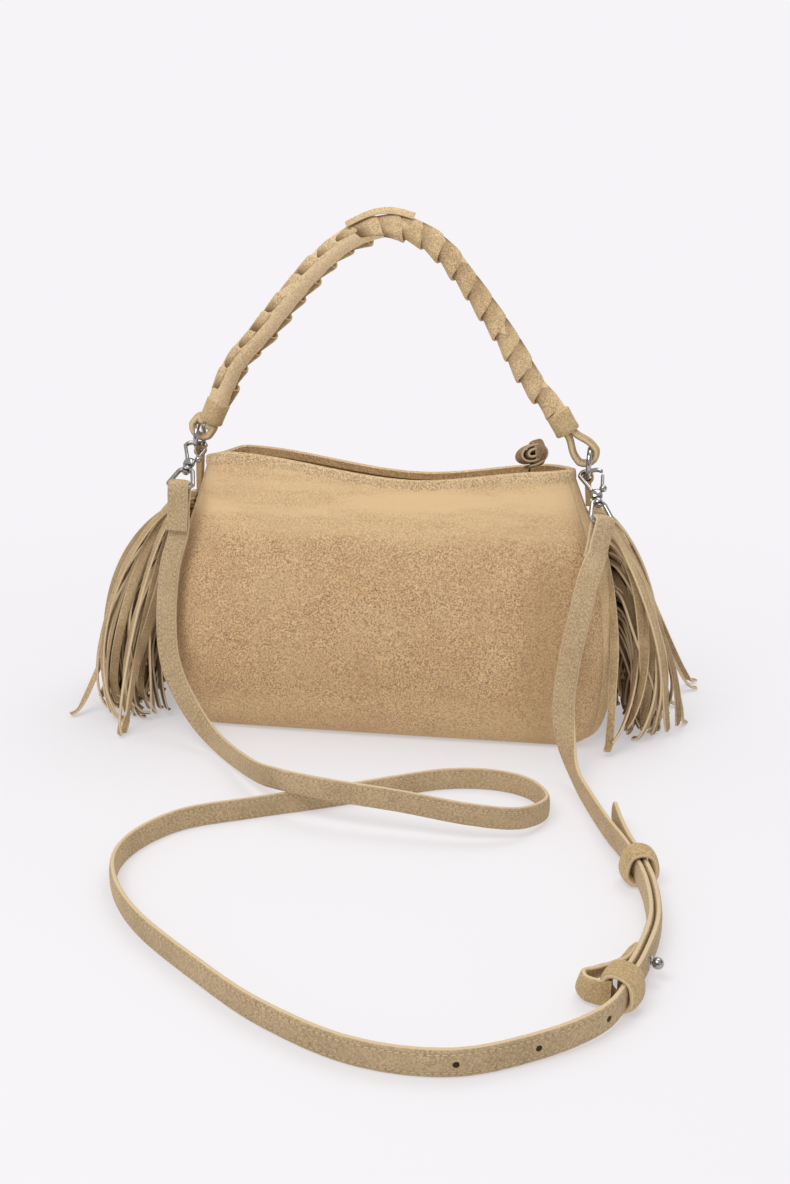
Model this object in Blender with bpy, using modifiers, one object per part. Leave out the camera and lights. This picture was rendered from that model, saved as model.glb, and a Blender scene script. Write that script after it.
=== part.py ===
"""Fringed suede bag: a small soft shoulder bag with a laced handle and a crossbody strap.

The bag stands on its flat base with the origin at the middle of that base, +Z up, its
long side along X and the plain panel seen first on the -Y side. All sizes are in metres.
"""
import math

import bmesh
import bpy
from mathutils import Matrix, Vector

# Body of the bag
BODY_PROFILE = (          # height, half length, half depth of the outer skin
    (0.000, 0.124, 0.038),
    (0.003, 0.1295, 0.0435),
    (0.012, 0.134, 0.0475),
    (0.035, 0.1375, 0.0505),
    (0.065, 0.1385, 0.0495),
    (0.095, 0.1355, 0.0440),
    (0.120, 0.1300, 0.0375),
    (0.142, 0.1225, 0.0305),
    (0.165, 0.1150, 0.0240),
)
PROFILE_TOP = 0.165       # height in the profile that the rim is stretched to
RIM_MIDDLE = 0.160        # lowest point of the front rim
RIM_LEFT_RISE = 0.014     # the left end of the front rim stands this much higher
RIM_RIGHT_RISE = 0.008
RIM_END_DROP = 0.004      # the left corner of the rim falls away again
BACK_RIM_DROP = 0.0045    # the back rim lies this much lower than the front rim
TOP_SHIFT = -0.004        # the top leans this far towards the left end
CORNER_RADIUS = 0.022
FULLNESS = 0.005          # outward swell of the soft panels at mid length
SUEDE = 0.0020            # thickness of the outer suede
SEAM_GAP = 0.0003
SEAM_FOOT = 0.121         # half distance between the end seams at the base
SEAM_LEAN = math.radians(7.0)
LINING_GAP = 0.0017
LINING_THICK = 0.0009
LINING_TOP = 0.134

# Rim and zip
BINDING_HEIGHT = 0.0065
BINDING_INSIDE = 0.0035
BINDING_THICK = 0.0009
BINDING_LIFT = 0.0006     # over the rim's cut edge
BINDING_FLARE = 0.0006    # the outer leg's lower edge stands off a little
BINDING_INSIDE_GAP = 0.0008     # the wall leans, so it is wider when measured level
FACING_THICK = 0.0011
FACING_DROP = 0.0052      # the facing's upper edge below the rim
ZIP_HEIGHT = 0.1450       # middle plane of the zip tape
ZIP_END_MARGIN = 0.0190   # from the rim's end to the end of the zip
ZIP_HALF_LENGTH = BODY_PROFILE[-1][1] - ZIP_END_MARGIN
ZIP_SLOT = 0.0052         # half width of the slot in the facing
TAPE_WIDTH = 0.0085
TAPE_THICK = 0.0007
TEETH_INNER = 0.0006
TEETH_OUTER = 0.0024
TEETH_THICK = 0.0022
SLIDER_FROM_END = 0.0120
SLIDER_PLACE = ZIP_HALF_LENGTH - SLIDER_FROM_END
SLIDER_LENGTH = 0.0110
SLIDER_HALF_WIDTH = 0.0044
SLIDER_PLATE = 0.0012
SLIDER_CLEARANCE = 0.0003
SLIDER_POST = 0.0050
BRIDGE_RADIUS = 0.0032
BRIDGE_WIRE = 0.0008
PULL_THONG = 0.0007       # radius of the puller's thong
PULL_HALF_WIDTH = 0.0019
PULL_LENGTH = 0.0175
KNOT_SIZE = (0.0195, 0.0150, 0.0160)

# Rings and their tabs
RING_LEFT = (-0.1260, 0.1800)     # x and z of the ring's centre
RING_RIGHT = (0.1200, 0.1710)
RING_RADIUS = 0.00895             # to the middle of the wire
RING_WIRE = 0.0014
TAB_WIDTH = 0.0064
TAB_THICK = 0.0014
TAB_FOOT_HEIGHT = 0.1450
TAB_HOLE = 0.00205          # radius of the fold's inner side round the ring
TAB_HOLE_LIFT = 0.0004      # its centre above the wire's, as the wire curves up

# Handle
HANDLE_ROUTE = ((-0.1155, 0.1970), (-0.1015, 0.2265), (-0.0825, 0.2480), (-0.0640, 0.2700),
                (-0.0450, 0.2900), (-0.0250, 0.3045), (-0.0020, 0.3105), (0.0160, 0.3060),
                (0.0310, 0.2955), (0.0430, 0.2810), (0.0550, 0.2650), (0.0665, 0.2490),
                (0.0765, 0.2330), (0.0865, 0.2175), (0.0970, 0.2060), (0.1030, 0.1960))
CORE_RADIUS = 0.0040
LACE_GAP = 0.0005
LACE_THICK = 0.0014
LACE_STEP_UP = 0.0009     # how far a turn's front edge rides up
LACE_SPLIT = 0.0004       # gap between one turn and the next
LACE_TURNS = 17
LACE_STEPS = 10
COLLAR_RADIUS = 0.0066
COLLAR_LENGTH = 0.0145
COLLAR_CLEARANCE = 0.0005
LOOP_OUTER = 0.0086       # half width of the loop that holds a ring
LOOP_THICK = 0.0033
LOOP_WIDTH = 0.0064
LOOP_LIFT = 0.0016        # the loop's lowest band above the ring's centre
LOOP_SHIFT = 0.0030       # and outwards of it, so that the leaning loop clears the ring

# Swivel hooks, measured from the ring's centre down the hook
HOOK_TOP = 0.0046
HOOK_WIRE = 0.0022
HOOK_THICK = 0.0026
HOOK_CORNER = 0.0045
HOOK_HALF_WIDTH = 0.0080
HOOK_WAIST = 0.0205
HOOK_WAIST_HALF = 0.0034
HOOK_BASE = 0.0265
NECK_RADIUS = 0.0013
EYE_TOP = 0.0285
EYE_HUB = 0.0030
EYE_BOTTOM = 0.0450
EYE_CORNER = 0.0030
EYE_HALF_WIDTH = 0.0077
EYE_WIRE = 0.0011
GATE_BALL = 0.0018
HOOK_LEFT_LEAN = (math.radians(58.0), math.radians(3.0))     # forwards, sideways
HOOK_RIGHT_LEAN = (math.radians(50.0), math.radians(13.0))
EYE_RIGHT_TURN = math.radians(30.0)

# Crossbody strap
STRAP_WIDTH = 0.0127
STRAP_THICK = 0.0030
STRAP_FOLD_GAP = 0.0003
KEEPER_WALL = 0.0022
KEEPER_LENGTH = 0.0130
KEEPER_LIFT = 0.0004       # the keeper's underside above the floor
KEEPER_GAP = 0.0012        # room over the strap's width inside a keeper
KEEPER_ROOM = 0.0050
END_LOOP_REACH = 0.0165    # how far the end loop's bight stands off the strap
END_TAB_LENGTH = 0.0300

# Fringe
FRINGE_TOP = 0.1400
FRINGE_FOOT = 0.0600
FRINGE_BAR = 0.0050
FRINGE_BAR_DEPTH = 0.0030
STRAND_WIDTH = 0.0046
STRAND_THICK = 0.0016
STRAND_STEPS = 5
FRINGE_LEVELS = 3
FRINGE_FAN = 3

X_AXIS, Y_AXIS, Z_AXIS = Vector((1, 0, 0)), Vector((0, 1, 0)), Vector((0, 0, 1))


def smooth_step(t):
    t = min(max(t, 0.0), 1.0)
    return t * t * (3.0 - 2.0 * t)


def mix(a, b, t):
    return a + (b - a) * t


# Scene, collections and materials

for old in list(bpy.data.objects):
    bpy.data.objects.remove(old)


def new_collection(name):
    made = bpy.data.collections.new(name)
    bpy.context.scene.collection.children.link(made)
    return made


PARTS = new_collection("fringed_suede_bag")
CUTTERS = new_collection("cutters")


def material(name, color, roughness, metallic=0.0):
    made = bpy.data.materials.new(name)
    made.use_nodes = True
    shader = made.node_tree.nodes["Principled BSDF"]
    shader.inputs["Base Color"].default_value = (*color, 1.0)
    shader.inputs["Roughness"].default_value = roughness
    shader.inputs["Metallic"].default_value = metallic
    return made


SUEDE_SKIN = (0.60, 0.44, 0.26)
SUEDE_SMOOTH = (0.66, 0.50, 0.31)
SUEDE_DARK = (0.30, 0.20, 0.13)
STEEL = (0.72, 0.72, 0.74)


def add_part(name, mesh, color, roughness=0.9, metallic=0.0, smooth=True):
    obj = bpy.data.objects.new(name, mesh)
    PARTS.objects.link(obj)
    obj.data.materials.clear()
    obj.data.materials.append(material(name, color, roughness, metallic))
    if smooth:
        obj.data.shade_smooth()
        obj.data.set_sharp_from_angle(angle=math.radians(40))
    return obj


def add_cutter(name, mesh):
    obj = bpy.data.objects.new(name, mesh)
    CUTTERS.objects.link(obj)
    obj.hide_render = True
    obj.display_type = "WIRE"
    return obj


def boolean(obj, cutter, operation):
    cut = obj.modifiers.new(operation.lower(), "BOOLEAN")
    cut.operation = operation
    cut.solver = "EXACT"
    cut.object = cutter
    return cut


def mesh_from(build, closed=True):
    bm = bmesh.new()
    build(bm)
    if closed:
        bmesh.ops.recalc_face_normals(bm, faces=bm.faces)
    mesh = bpy.data.meshes.new("mesh")
    bm.to_mesh(mesh)
    bm.free()
    return mesh


def box_mesh(size, centre, matrix=Matrix.Identity(4)):
    def build(bm):
        bmesh.ops.create_cube(bm, size=1.0)
        bmesh.ops.scale(bm, vec=size, verts=bm.verts)
        bmesh.ops.translate(bm, vec=centre, verts=bm.verts)
        bmesh.ops.transform(bm, matrix=matrix, verts=bm.verts)
    return mesh_from(build)


def cylinder_mesh(radius, length, matrix, segments=16):
    def build(bm):
        bmesh.ops.create_cone(bm, cap_ends=True, segments=segments,
                              radius1=radius, radius2=radius, depth=length)
        bmesh.ops.transform(bm, matrix=matrix, verts=bm.verts)
    return mesh_from(build)


def ball_mesh(radii, matrix, across=16, along=10):
    def build(bm):
        bmesh.ops.create_uvsphere(bm, u_segments=across, v_segments=along, radius=1.0)
        bmesh.ops.scale(bm, vec=radii, verts=bm.verts)
        bmesh.ops.transform(bm, matrix=matrix, verts=bm.verts)
    return mesh_from(build)


def closed_mesh(curve_obj):
    """The curve as one closed mesh in world space; the curve is removed."""
    graph = bpy.context.evaluated_depsgraph_get()
    mesh = bpy.data.meshes.new_from_object(curve_obj.evaluated_get(graph))
    bm = bmesh.new()
    bm.from_mesh(mesh)
    bmesh.ops.transform(bm, matrix=curve_obj.matrix_world, verts=bm.verts)
    bmesh.ops.remove_doubles(bm, verts=bm.verts, dist=0.00001)
    bmesh.ops.recalc_face_normals(bm, faces=bm.faces)
    bm.to_mesh(mesh)
    bm.free()
    bpy.data.objects.remove(curve_obj)
    return mesh


def curve_object(splines, radius, resolution, cyclic=False, extrude=0.0, flat=False,
                 tilts=None, matrix=Matrix.Identity(4)):
    data = bpy.data.curves.new("curve", "CURVE")
    data.dimensions = "2D" if flat else "3D"
    data.fill_mode = "BOTH" if flat else "FULL"
    data.twist_mode = "Z_UP"
    data.extrude = extrude
    data.bevel_depth = radius
    data.bevel_resolution = resolution
    data.use_fill_caps = not flat
    for points in splines:
        spline = data.splines.new("POLY")
        spline.points.add(len(points) - 1)
        for i, place in enumerate(points):
            spline.points[i].co = (*place, 1.0)
            if tilts:
                spline.points[i].tilt = tilts[i]
        spline.use_cyclic_u = cyclic
    obj = bpy.data.objects.new("curve", data)
    bpy.context.scene.collection.objects.link(obj)
    obj.matrix_world = matrix
    bpy.context.view_layer.update()
    return obj


def wire_mesh(points, radius, resolution=2, cyclic=False, matrix=Matrix.Identity(4)):
    return closed_mesh(curve_object([points], radius, resolution, cyclic, matrix=matrix))


def plate_mesh(outlines, thickness, matrix=Matrix.Identity(4)):
    """A flat outline with its holes, drawn in X and Y and thickened along Z."""
    flat = [[(x, y, 0.0) for x, y in outline] for outline in outlines]
    return closed_mesh(curve_object(flat, 0.0, 0, True, thickness / 2, True, matrix=matrix))


def unite(base, others):
    """Boolean union of solid meshes into one mesh."""
    obj = bpy.data.objects.new("base", base)
    bpy.context.scene.collection.objects.link(obj)
    helpers = []
    for other in others:
        helper = bpy.data.objects.new("helper", other)
        bpy.context.scene.collection.objects.link(helper)
        helpers.append(helper)
        boolean(obj, helper, "UNION")
    graph = bpy.context.evaluated_depsgraph_get()
    mesh = bpy.data.meshes.new_from_object(obj.evaluated_get(graph))
    for done in [obj] + helpers:
        bpy.data.objects.remove(done)
    return mesh


def through(rows, steps):
    """Catmull-Rom curve through rows of numbers, with so many steps to each next row."""
    rows = [Vector(row) for row in rows]
    line = []
    for i in range(len(rows) - 1):
        before = rows[i - 1] if i else rows[0] * 2 - rows[1]
        start, end = rows[i], rows[i + 1]
        after = rows[i + 2] if i + 2 < len(rows) else end * 2 - start
        for k in range(steps):
            t = k / steps
            line.append(0.5 * (2 * start + (end - before) * t
                               + (2 * before - 5 * start + 4 * end - after) * t * t
                               + (3 * start - before - 3 * end + after) * t ** 3))
    line.append(rows[-1])
    return line


def arc(centre, radius, first, last, steps):
    """Points on a circle arc from one angle to another, in degrees."""
    angles = [math.radians(mix(first, last, k / steps)) for k in range(steps + 1)]
    return [(centre[0] + radius * math.cos(a), centre[1] + radius * math.sin(a)) for a in angles]


# Shape of the bag's skin

def profile_at(height):
    """Half length and half depth of the outer skin at a height of the profile."""
    rows = BODY_PROFILE
    height = min(max(height, rows[0][0]), rows[-1][0])
    k = max(i for i in range(len(rows) - 1) if rows[i][0] <= height)
    low, high = rows[k], rows[k + 1]
    t = (height - low[0]) / (high[0] - low[0])
    return [mix(low[j], high[j], t) for j in (1, 2)]


def rim_height(x, y):
    """Height of the rim over a point of the mouth: it sags at mid length."""
    left = RIM_LEFT_RISE * smooth_step((0.016 - x) / 0.120)
    right = RIM_RIGHT_RISE * smooth_step((x - 0.016) / 0.085)
    left -= RIM_END_DROP * smooth_step((-0.102 - x) / 0.018)
    half_depth = BODY_PROFILE[-1][2]
    back = BACK_RIM_DROP * smooth_step((y + half_depth) / (2 * half_depth))
    return RIM_MIDDLE + left + right - back


def stations(front_steps, corner_steps):
    """Places round the bag: side signs with either a share of the straight or an angle."""
    made = [("front", mix(-1.0, 1.0, k / front_steps)) for k in range(front_steps + 1)]
    made += [((1, -1), mix(-90, 0, k / corner_steps)) for k in range(1, corner_steps + 1)]
    made += [((1, 1), mix(0, 90, k / corner_steps)) for k in range(corner_steps)]
    made += [("back", mix(1.0, -1.0, k / front_steps)) for k in range(front_steps + 1)]
    made += [((-1, 1), mix(90, 180, k / corner_steps)) for k in range(1, corner_steps + 1)]
    made += [((-1, -1), mix(180, 270, k / corner_steps)) for k in range(corner_steps)]
    return made


def skin_point(station, height, inset):
    """A point of the skin, moved inwards by inset, at a height of the profile."""
    kind, value = station
    half_length, half_depth = profile_at(height)
    half_length, half_depth = half_length - inset, half_depth - inset
    radius = min(CORNER_RADIUS, half_depth * 0.92)
    swell = FULLNESS * math.sin(math.pi * min(height / PROFILE_TOP, 1.0)) ** 0.7
    if kind in ("front", "back"):
        side = -1 if kind == "front" else 1
        x = value * (half_length - radius)
        y = side * (half_depth + swell * (1 - value * value))
    else:
        angle = math.radians(value)
        x = kind[0] * (half_length - radius) + radius * math.cos(angle)
        y = kind[1] * (half_depth - radius) + radius * math.sin(angle)
    share = height / PROFILE_TOP
    x += TOP_SHIFT * share ** 2
    z = height + (rim_height(x, y) - PROFILE_TOP) * share ** 3
    return Vector((x, y, z))


def ring_faces(bm, rings, close_first=False, close_last=False, around=True):
    """Quads between neighbouring rings of vertices, with flat ends where asked."""
    count = len(rings[0])
    for low, high in zip(rings, rings[1:]):
        for i in range(count if around else count - 1):
            j = (i + 1) % count
            bm.faces.new((low[i], low[j], high[j], high[i]))
    if close_first:
        bm.faces.new(list(reversed(rings[0])))
    if close_last:
        bm.faces.new(rings[-1])


SKIN_STATIONS = stations(6, 3)
LINING_STATIONS = stations(4, 2)


def skin_sheet(bm, inset=0.0, lift=0.0, top=PROFILE_TOP, places=SKIN_STATIONS):
    heights = [row[0] for row in BODY_PROFILE if row[0] < top] + [top]
    rings = []
    for height in heights:
        ring = []
        for station in places:
            place = skin_point(station, height, inset)
            place.z = max(place.z, lift)
            ring.append(bm.verts.new(place))
        rings.append(ring)
    ring_faces(bm, rings, close_first=True)


def thicken(obj, thickness):
    wall = obj.modifiers.new("wall", "SOLIDIFY")
    wall.thickness = thickness
    wall.offset = -1.0
    wall.use_even_offset = True
    wall.use_quality_normals = True


def seam_box(side, gap, name):
    """Everything beyond one end seam, whose plane leans in towards the top."""
    size = 0.4
    matrix = (Matrix.Translation((side * (SEAM_FOOT + gap), 0, 0))
              @ Matrix.Rotation(-side * SEAM_LEAN, 4, "Y"))
    return add_cutter(name, box_mesh((size, size, size * 1.5), (side * size / 2, 0, 0), matrix))


def make_body():
    left_cut = seam_box(-1, 0.0, "left_seam_cut")
    right_cut = seam_box(1, 0.0, "right_seam_cut")
    panel = add_part("main_panel", mesh_from(skin_sheet, False), SUEDE_SKIN)
    thicken(panel, SUEDE)
    boolean(panel, left_cut, "DIFFERENCE")
    boolean(panel, right_cut, "DIFFERENCE")
    for side, name in ((-1, "left_gusset"), (1, "right_gusset")):
        keep = seam_box(side, SEAM_GAP, name + "_keep")
        gusset = add_part(name, mesh_from(skin_sheet, False), SUEDE_SMOOTH)
        thicken(gusset, SUEDE)
        boolean(gusset, keep, "INTERSECT")


def make_lining():
    inset = SUEDE + LINING_GAP
    mesh = mesh_from(lambda bm: skin_sheet(bm, inset, inset, LINING_TOP, LINING_STATIONS), False)
    lining = add_part("lining", mesh, (0.45, 0.35, 0.24), 0.8)
    thicken(lining, LINING_THICK)


def make_binding():
    """A strip of suede folded over the rim, all the way round the mouth."""
    last_row = BODY_PROFILE[-2][0]

    def build(bm):
        low = PROFILE_TOP - BINDING_HEIGHT
        inner_low = PROFILE_TOP - BINDING_INSIDE
        outer, inner = -SEAM_GAP, SUEDE + BINDING_INSIDE_GAP
        sections = []
        for station in SKIN_STATIONS:
            top_z = skin_point(station, PROFILE_TOP, 0).z

            def place(height, inset, lift=None):
                share = (height - last_row) / (PROFILE_TOP - last_row)
                p = skin_point(station, last_row, inset).lerp(
                    skin_point(station, PROFILE_TOP, inset), share)
                if lift is not None:
                    p.z = top_z + lift
                return bm.verts.new(p)
            sections.append([
                place(low, outer - BINDING_FLARE), place(PROFILE_TOP, outer, BINDING_LIFT),
                place(PROFILE_TOP, inner, BINDING_LIFT), place(inner_low, inner),
                place(inner_low, inner + BINDING_THICK),
                place(PROFILE_TOP, inner + BINDING_THICK, BINDING_LIFT + BINDING_THICK),
                place(PROFILE_TOP, outer - BINDING_THICK, BINDING_LIFT + BINDING_THICK),
                place(low, outer - BINDING_FLARE - BINDING_THICK)])
        sections.append(sections[0])
        ring_faces(bm, sections)
    add_part("rim_binding", mesh_from(build), SUEDE_SMOOTH)


def slot_point(station, half_width, height):
    """The place on the slot's edge that faces the same place of the rim."""
    kind, value = station
    reach = ZIP_HALF_LENGTH + 0.0005
    if kind in ("front", "back"):
        return Vector((value * reach, -half_width if kind == "front" else half_width, height))
    angle = math.radians(value)
    return Vector((kind[0] * reach + half_width * math.cos(angle),
                   half_width * math.sin(angle), height))


def make_facing():
    """The recessed panel: down inside the rim, then level to the zip's slot."""
    top_of_panel = ZIP_HEIGHT + TAPE_THICK / 2 + SEAM_GAP
    inset = SUEDE + 0.0006
    last_row = BODY_PROFILE[-2][0]
    share = 1.0 - FACING_DROP / (PROFILE_TOP - last_row)

    def build(bm):
        rings = [[], [], [], []]
        for station in SKIN_STATIONS:
            rim = skin_point(station, PROFILE_TOP, inset)
            upper = skin_point(station, last_row, inset).lerp(rim, share)
            low = rim.copy()
            low.z = top_of_panel + 0.0020
            bend = low + (Vector((0, 0, low.z)) - low) * 0.06
            bend.z = top_of_panel
            rings[0].append(bm.verts.new(upper))
            rings[1].append(bm.verts.new(low))
            rings[2].append(bm.verts.new(bend))
            rings[3].append(bm.verts.new(slot_point(station, ZIP_SLOT, top_of_panel)))
        ring_faces(bm, rings)
    facing = add_part("zip_facing", mesh_from(build, False), SUEDE_SMOOTH)
    wall = facing.modifiers.new("wall", "SOLIDIFY")
    wall.thickness = FACING_THICK
    wall.offset = 1.0
    wall.use_even_offset = True


def make_zip():
    for side, name in ((-1, "front"), (1, "back")):
        inner = TEETH_OUTER + SLIDER_CLEARANCE
        tape = box_mesh((2 * ZIP_HALF_LENGTH, TAPE_WIDTH, TAPE_THICK),
                        (0, side * (inner + TAPE_WIDTH / 2), ZIP_HEIGHT))
        add_part(f"zip_tape_{name}", tape, (0.42, 0.33, 0.23), 0.85, smooth=False)
        teeth_width = TEETH_OUTER - TEETH_INNER
        teeth = box_mesh((2 * ZIP_HALF_LENGTH, teeth_width, TEETH_THICK),
                         (0, side * (TEETH_INNER + teeth_width / 2), ZIP_HEIGHT))
        add_part(f"zip_teeth_{name}", teeth, STEEL, 0.3, 1.0, smooth=False)


def make_slider():
    """Two plates round the teeth, joined by a thin post between the two rows."""
    channel = TEETH_THICK + 2 * SLIDER_CLEARANCE
    height = channel + 2 * SLIDER_PLATE
    centre = Vector((SLIDER_PLACE, 0, ZIP_HEIGHT))
    body = add_part("zip_slider", box_mesh((SLIDER_LENGTH, 2 * SLIDER_HALF_WIDTH, height), centre),
                    STEEL, 0.25, 1.0)
    long_cut = 2 * SLIDER_LENGTH
    room = 2 * (TEETH_OUTER + SLIDER_CLEARANCE / 2)
    teeth_room = box_mesh((long_cut, room, channel), centre)
    tape_room = box_mesh((long_cut, 4 * SLIDER_HALF_WIDTH, TAPE_THICK + 2 * SLIDER_CLEARANCE), centre)
    boolean(body, add_cutter("teeth_room", teeth_room), "DIFFERENCE")
    boolean(body, add_cutter("tape_room", tape_room), "DIFFERENCE")
    post_width = 2 * (TEETH_INNER - SLIDER_CLEARANCE)
    post = box_mesh((SLIDER_POST, post_width, channel + SLIDER_PLATE), centre)
    boolean(body, add_cutter("slider_post", post), "UNION")
    top = ZIP_HEIGHT + height / 2
    bridge = [(SLIDER_PLACE + x, 0, top - 0.0004 + z)
              for x, z in arc((0, 0), BRIDGE_RADIUS, 0, 180, 8)]
    boolean(body, add_cutter("slider_bridge", wire_mesh(bridge, BRIDGE_WIRE)), "UNION")
    return top


def pull_axis_height(slider_top):
    return slider_top + (BRIDGE_RADIUS - BRIDGE_WIRE - 0.0004) / 2


def make_puller(slider_top):
    """A thong loop through the slider's bridge with a rolled suede knot on it."""
    low = pull_axis_height(slider_top)
    high = low + PULL_LENGTH
    w = PULL_HALF_WIDTH
    r = 0.0012
    outline = (arc((w - r, low + r), r, -90, 0, 3) + arc((w - r, high - r), r, 0, 90, 3)
               + arc((-w + r, high - r), r, 90, 180, 3) + arc((-w + r, low + r), r, 180, 270, 3))
    points = [(SLIDER_PLACE, y, z) for y, z in outline]
    add_part("pull_thong", wire_mesh(points, PULL_THONG, 1, cyclic=True), SUEDE_DARK)
    knot_z = high + PULL_THONG + SEAM_GAP + KNOT_SIZE[2] / 2
    place = Matrix.Translation((SLIDER_PLACE, 0, knot_z))
    radii = [size / 2 for size in KNOT_SIZE]
    add_part("pull_knot", ball_mesh(radii, place, 16, 10), SUEDE_DARK)


# Rings, tabs and handle

def swing_axis():
    """Unit vector from the left ring's centre to the right one's."""
    return Vector((RING_RIGHT[0] - RING_LEFT[0], 0, RING_RIGHT[1] - RING_LEFT[1])).normalized()


def upright(axis_x):
    """Rotation whose X is the given axis, with Y kept level."""
    z_axis = axis_x.cross(Y_AXIS).normalized()
    return Matrix((axis_x, Y_AXIS, z_axis)).transposed().to_4x4()


def make_ring(name, centre):
    turn = Matrix.Translation((centre[0], 0, centre[1])) @ upright(swing_axis())
    circle = [(0, a, b) for a, b in arc((0, 0), RING_RADIUS, 0, 360 - 360 / 22, 21)]
    add_part(name, wire_mesh(circle, RING_WIRE, 1, cyclic=True, matrix=turn), STEEL, 0.15, 1.0)


def gusset_x(side, z):
    """Outer face of an end of the bag, at mid depth and a height."""
    stretch = rim_height(side * BODY_PROFILE[-1][1], 0.0) - PROFILE_TOP
    height = z - stretch * (z / PROFILE_TOP) ** 3
    return side * profile_at(height)[0] + TOP_SHIFT * (height / PROFILE_TOP) ** 2


def make_tab(name, side, centre):
    """A suede strip folded round the ring's lowest stretch and laid on the gusset."""
    middle = Vector((centre[0], centre[1] - RING_RADIUS + TAB_HOLE_LIFT))
    outer = TAB_HOLE + TAB_THICK
    foot = Vector((gusset_x(side, TAB_FOOT_HEIGHT) + side * (SEAM_GAP + TAB_THICK * 1.3),
                   TAB_FOOT_HEIGHT))
    down = (foot - middle).normalized()
    across = Vector((-down.y, down.x))
    turn = math.degrees(math.atan2(across.y, across.x))
    outline = arc(middle, outer, turn - 55, turn + 235, 14)
    outline += [tuple(foot - across * TAB_THICK), tuple(foot + across * TAB_THICK)]
    hole = arc(middle, TAB_HOLE, 0, 330, 11)
    stand = Matrix.Rotation(math.radians(90), 4, "X")
    add_part(name, plate_mesh([outline, hole], TAB_WIDTH, stand), SUEDE_SMOOTH)


def handle_line(steps=2):
    return through([(x, 0, z) for x, z in HANDLE_ROUTE], steps)


def make_core(line):
    add_part("handle_core", wire_mesh(line, CORE_RADIUS, 2), SUEDE_SKIN)


def place_along(bm, line):
    """Bends a shape built along +X onto the line, which lies in the XZ plane."""
    lengths = [0.0]
    for a, b in zip(line, line[1:]):
        lengths.append(lengths[-1] + (b - a).length)
    directions = []
    for i in range(len(line)):
        a, b = line[max(i - 1, 0)], line[min(i + 1, len(line) - 1)]
        directions.append((b - a).normalized())
    for vert in bm.verts:
        along, across, up = vert.co
        i = max(j for j in range(len(lengths) - 1) if lengths[j] <= max(along, 0.0))
        t = (along - lengths[i]) / (lengths[i + 1] - lengths[i])
        centre = line[i].lerp(line[i + 1], t)
        direction = directions[i].lerp(directions[i + 1], min(t, 1.0)).normalized()
        normal = direction.cross(Y_AXIS).normalized()
        vert.co = centre + Y_AXIS * across + normal * up


def make_lace(line):
    """A flat lace whipped round the core, each turn's front edge standing up."""
    length = sum((b - a).length for a, b in zip(line, line[1:]))
    run = length - COLLAR_LENGTH - 2 * LACE_GAP
    pitch = run / (LACE_TURNS + 1)
    half = (pitch - LACE_SPLIT) / 2
    inner = CORE_RADIUS + LACE_GAP
    outer = inner + LACE_THICK
    section = ((-half, inner), (0, inner + LACE_STEP_UP * 0.5), (half, inner + LACE_STEP_UP),
               (half, outer + LACE_STEP_UP), (0, outer + LACE_STEP_UP * 0.5),
               (-half, outer - LACE_THICK * 0.5))

    def build(bm):
        rings = []
        for k in range(LACE_TURNS * LACE_STEPS + 1):
            angle = 2 * math.pi * k / LACE_STEPS
            along = COLLAR_LENGTH / 2 + LACE_GAP + half + pitch * k / LACE_STEPS
            rings.append([bm.verts.new((along + offset, radius * math.cos(angle),
                                        radius * math.sin(angle))) for offset, radius in section])
        ring_faces(bm, rings, close_first=True, close_last=True)
        place_along(bm, line)
    add_part("handle_lace", mesh_from(build), SUEDE_SKIN)


def frame_along(origin, direction):
    """Frame at the origin whose Y runs along the direction and whose Z is level."""
    across = Y_AXIS.cross(direction).normalized()
    turn = Matrix((across, direction, across.cross(direction))).transposed().to_4x4()
    return Matrix.Translation(origin) @ turn


def make_collar(name, end, inward, loop_direction):
    """A suede tube round the joint of core and loop."""
    frame = frame_along(end, (inward - end).normalized())
    tube = frame @ Matrix.Rotation(math.radians(-90), 4, "X")
    collar = add_part(name, cylinder_mesh(COLLAR_RADIUS, COLLAR_LENGTH, tube, 16), SUEDE_SMOOTH)
    core_room = tube @ Matrix.Translation((0, 0, COLLAR_LENGTH / 2 - LACE_GAP))
    bore = cylinder_mesh(CORE_RADIUS + COLLAR_CLEARANCE, COLLAR_LENGTH, core_room, 16)
    boolean(collar, add_cutter(name + "_core_room", bore), "DIFFERENCE")
    loop_frame = frame_along(end, loop_direction)
    loop_room = box_mesh((2 * (LOOP_THICK + COLLAR_CLEARANCE), COLLAR_LENGTH,
                          LOOP_WIDTH + 2 * COLLAR_CLEARANCE),
                         (0, -COLLAR_LENGTH / 2 - LACE_GAP, 0), loop_frame)
    boolean(collar, add_cutter(name + "_loop_room", loop_room), "DIFFERENCE")


def make_loop(name, ring_centre, end, direction):
    """A suede band doubled round the ring, its two ends closed inside the collar."""
    low = ring_centre + direction * (LOOP_LIFT - LOOP_THICK / 2)
    length = (end - low).length - 2 * LACE_GAP
    half, neck = LOOP_OUTER, LOOP_THICK
    shoulder = length - COLLAR_LENGTH * 0.62
    outer = (arc((0, half), half, 200, 340, 8)
             + [(half * 0.93, half * 1.45), (neck, shoulder), (neck, length),
                (-neck, length), (-neck, shoulder), (-half * 0.93, half * 1.45)])
    inside = half - LOOP_THICK
    hole = (arc((0, half), inside, 195, 345, 8)
            + [(inside * 0.86, half + inside * 0.55), (0.0005, shoulder - 0.0026),
               (-0.0005, shoulder - 0.0026), (-inside * 0.86, half + inside * 0.55)])
    add_part(name, plate_mesh([outer, hole], LOOP_WIDTH, frame_along(low, direction)),
             SUEDE_SMOOTH)


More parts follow.
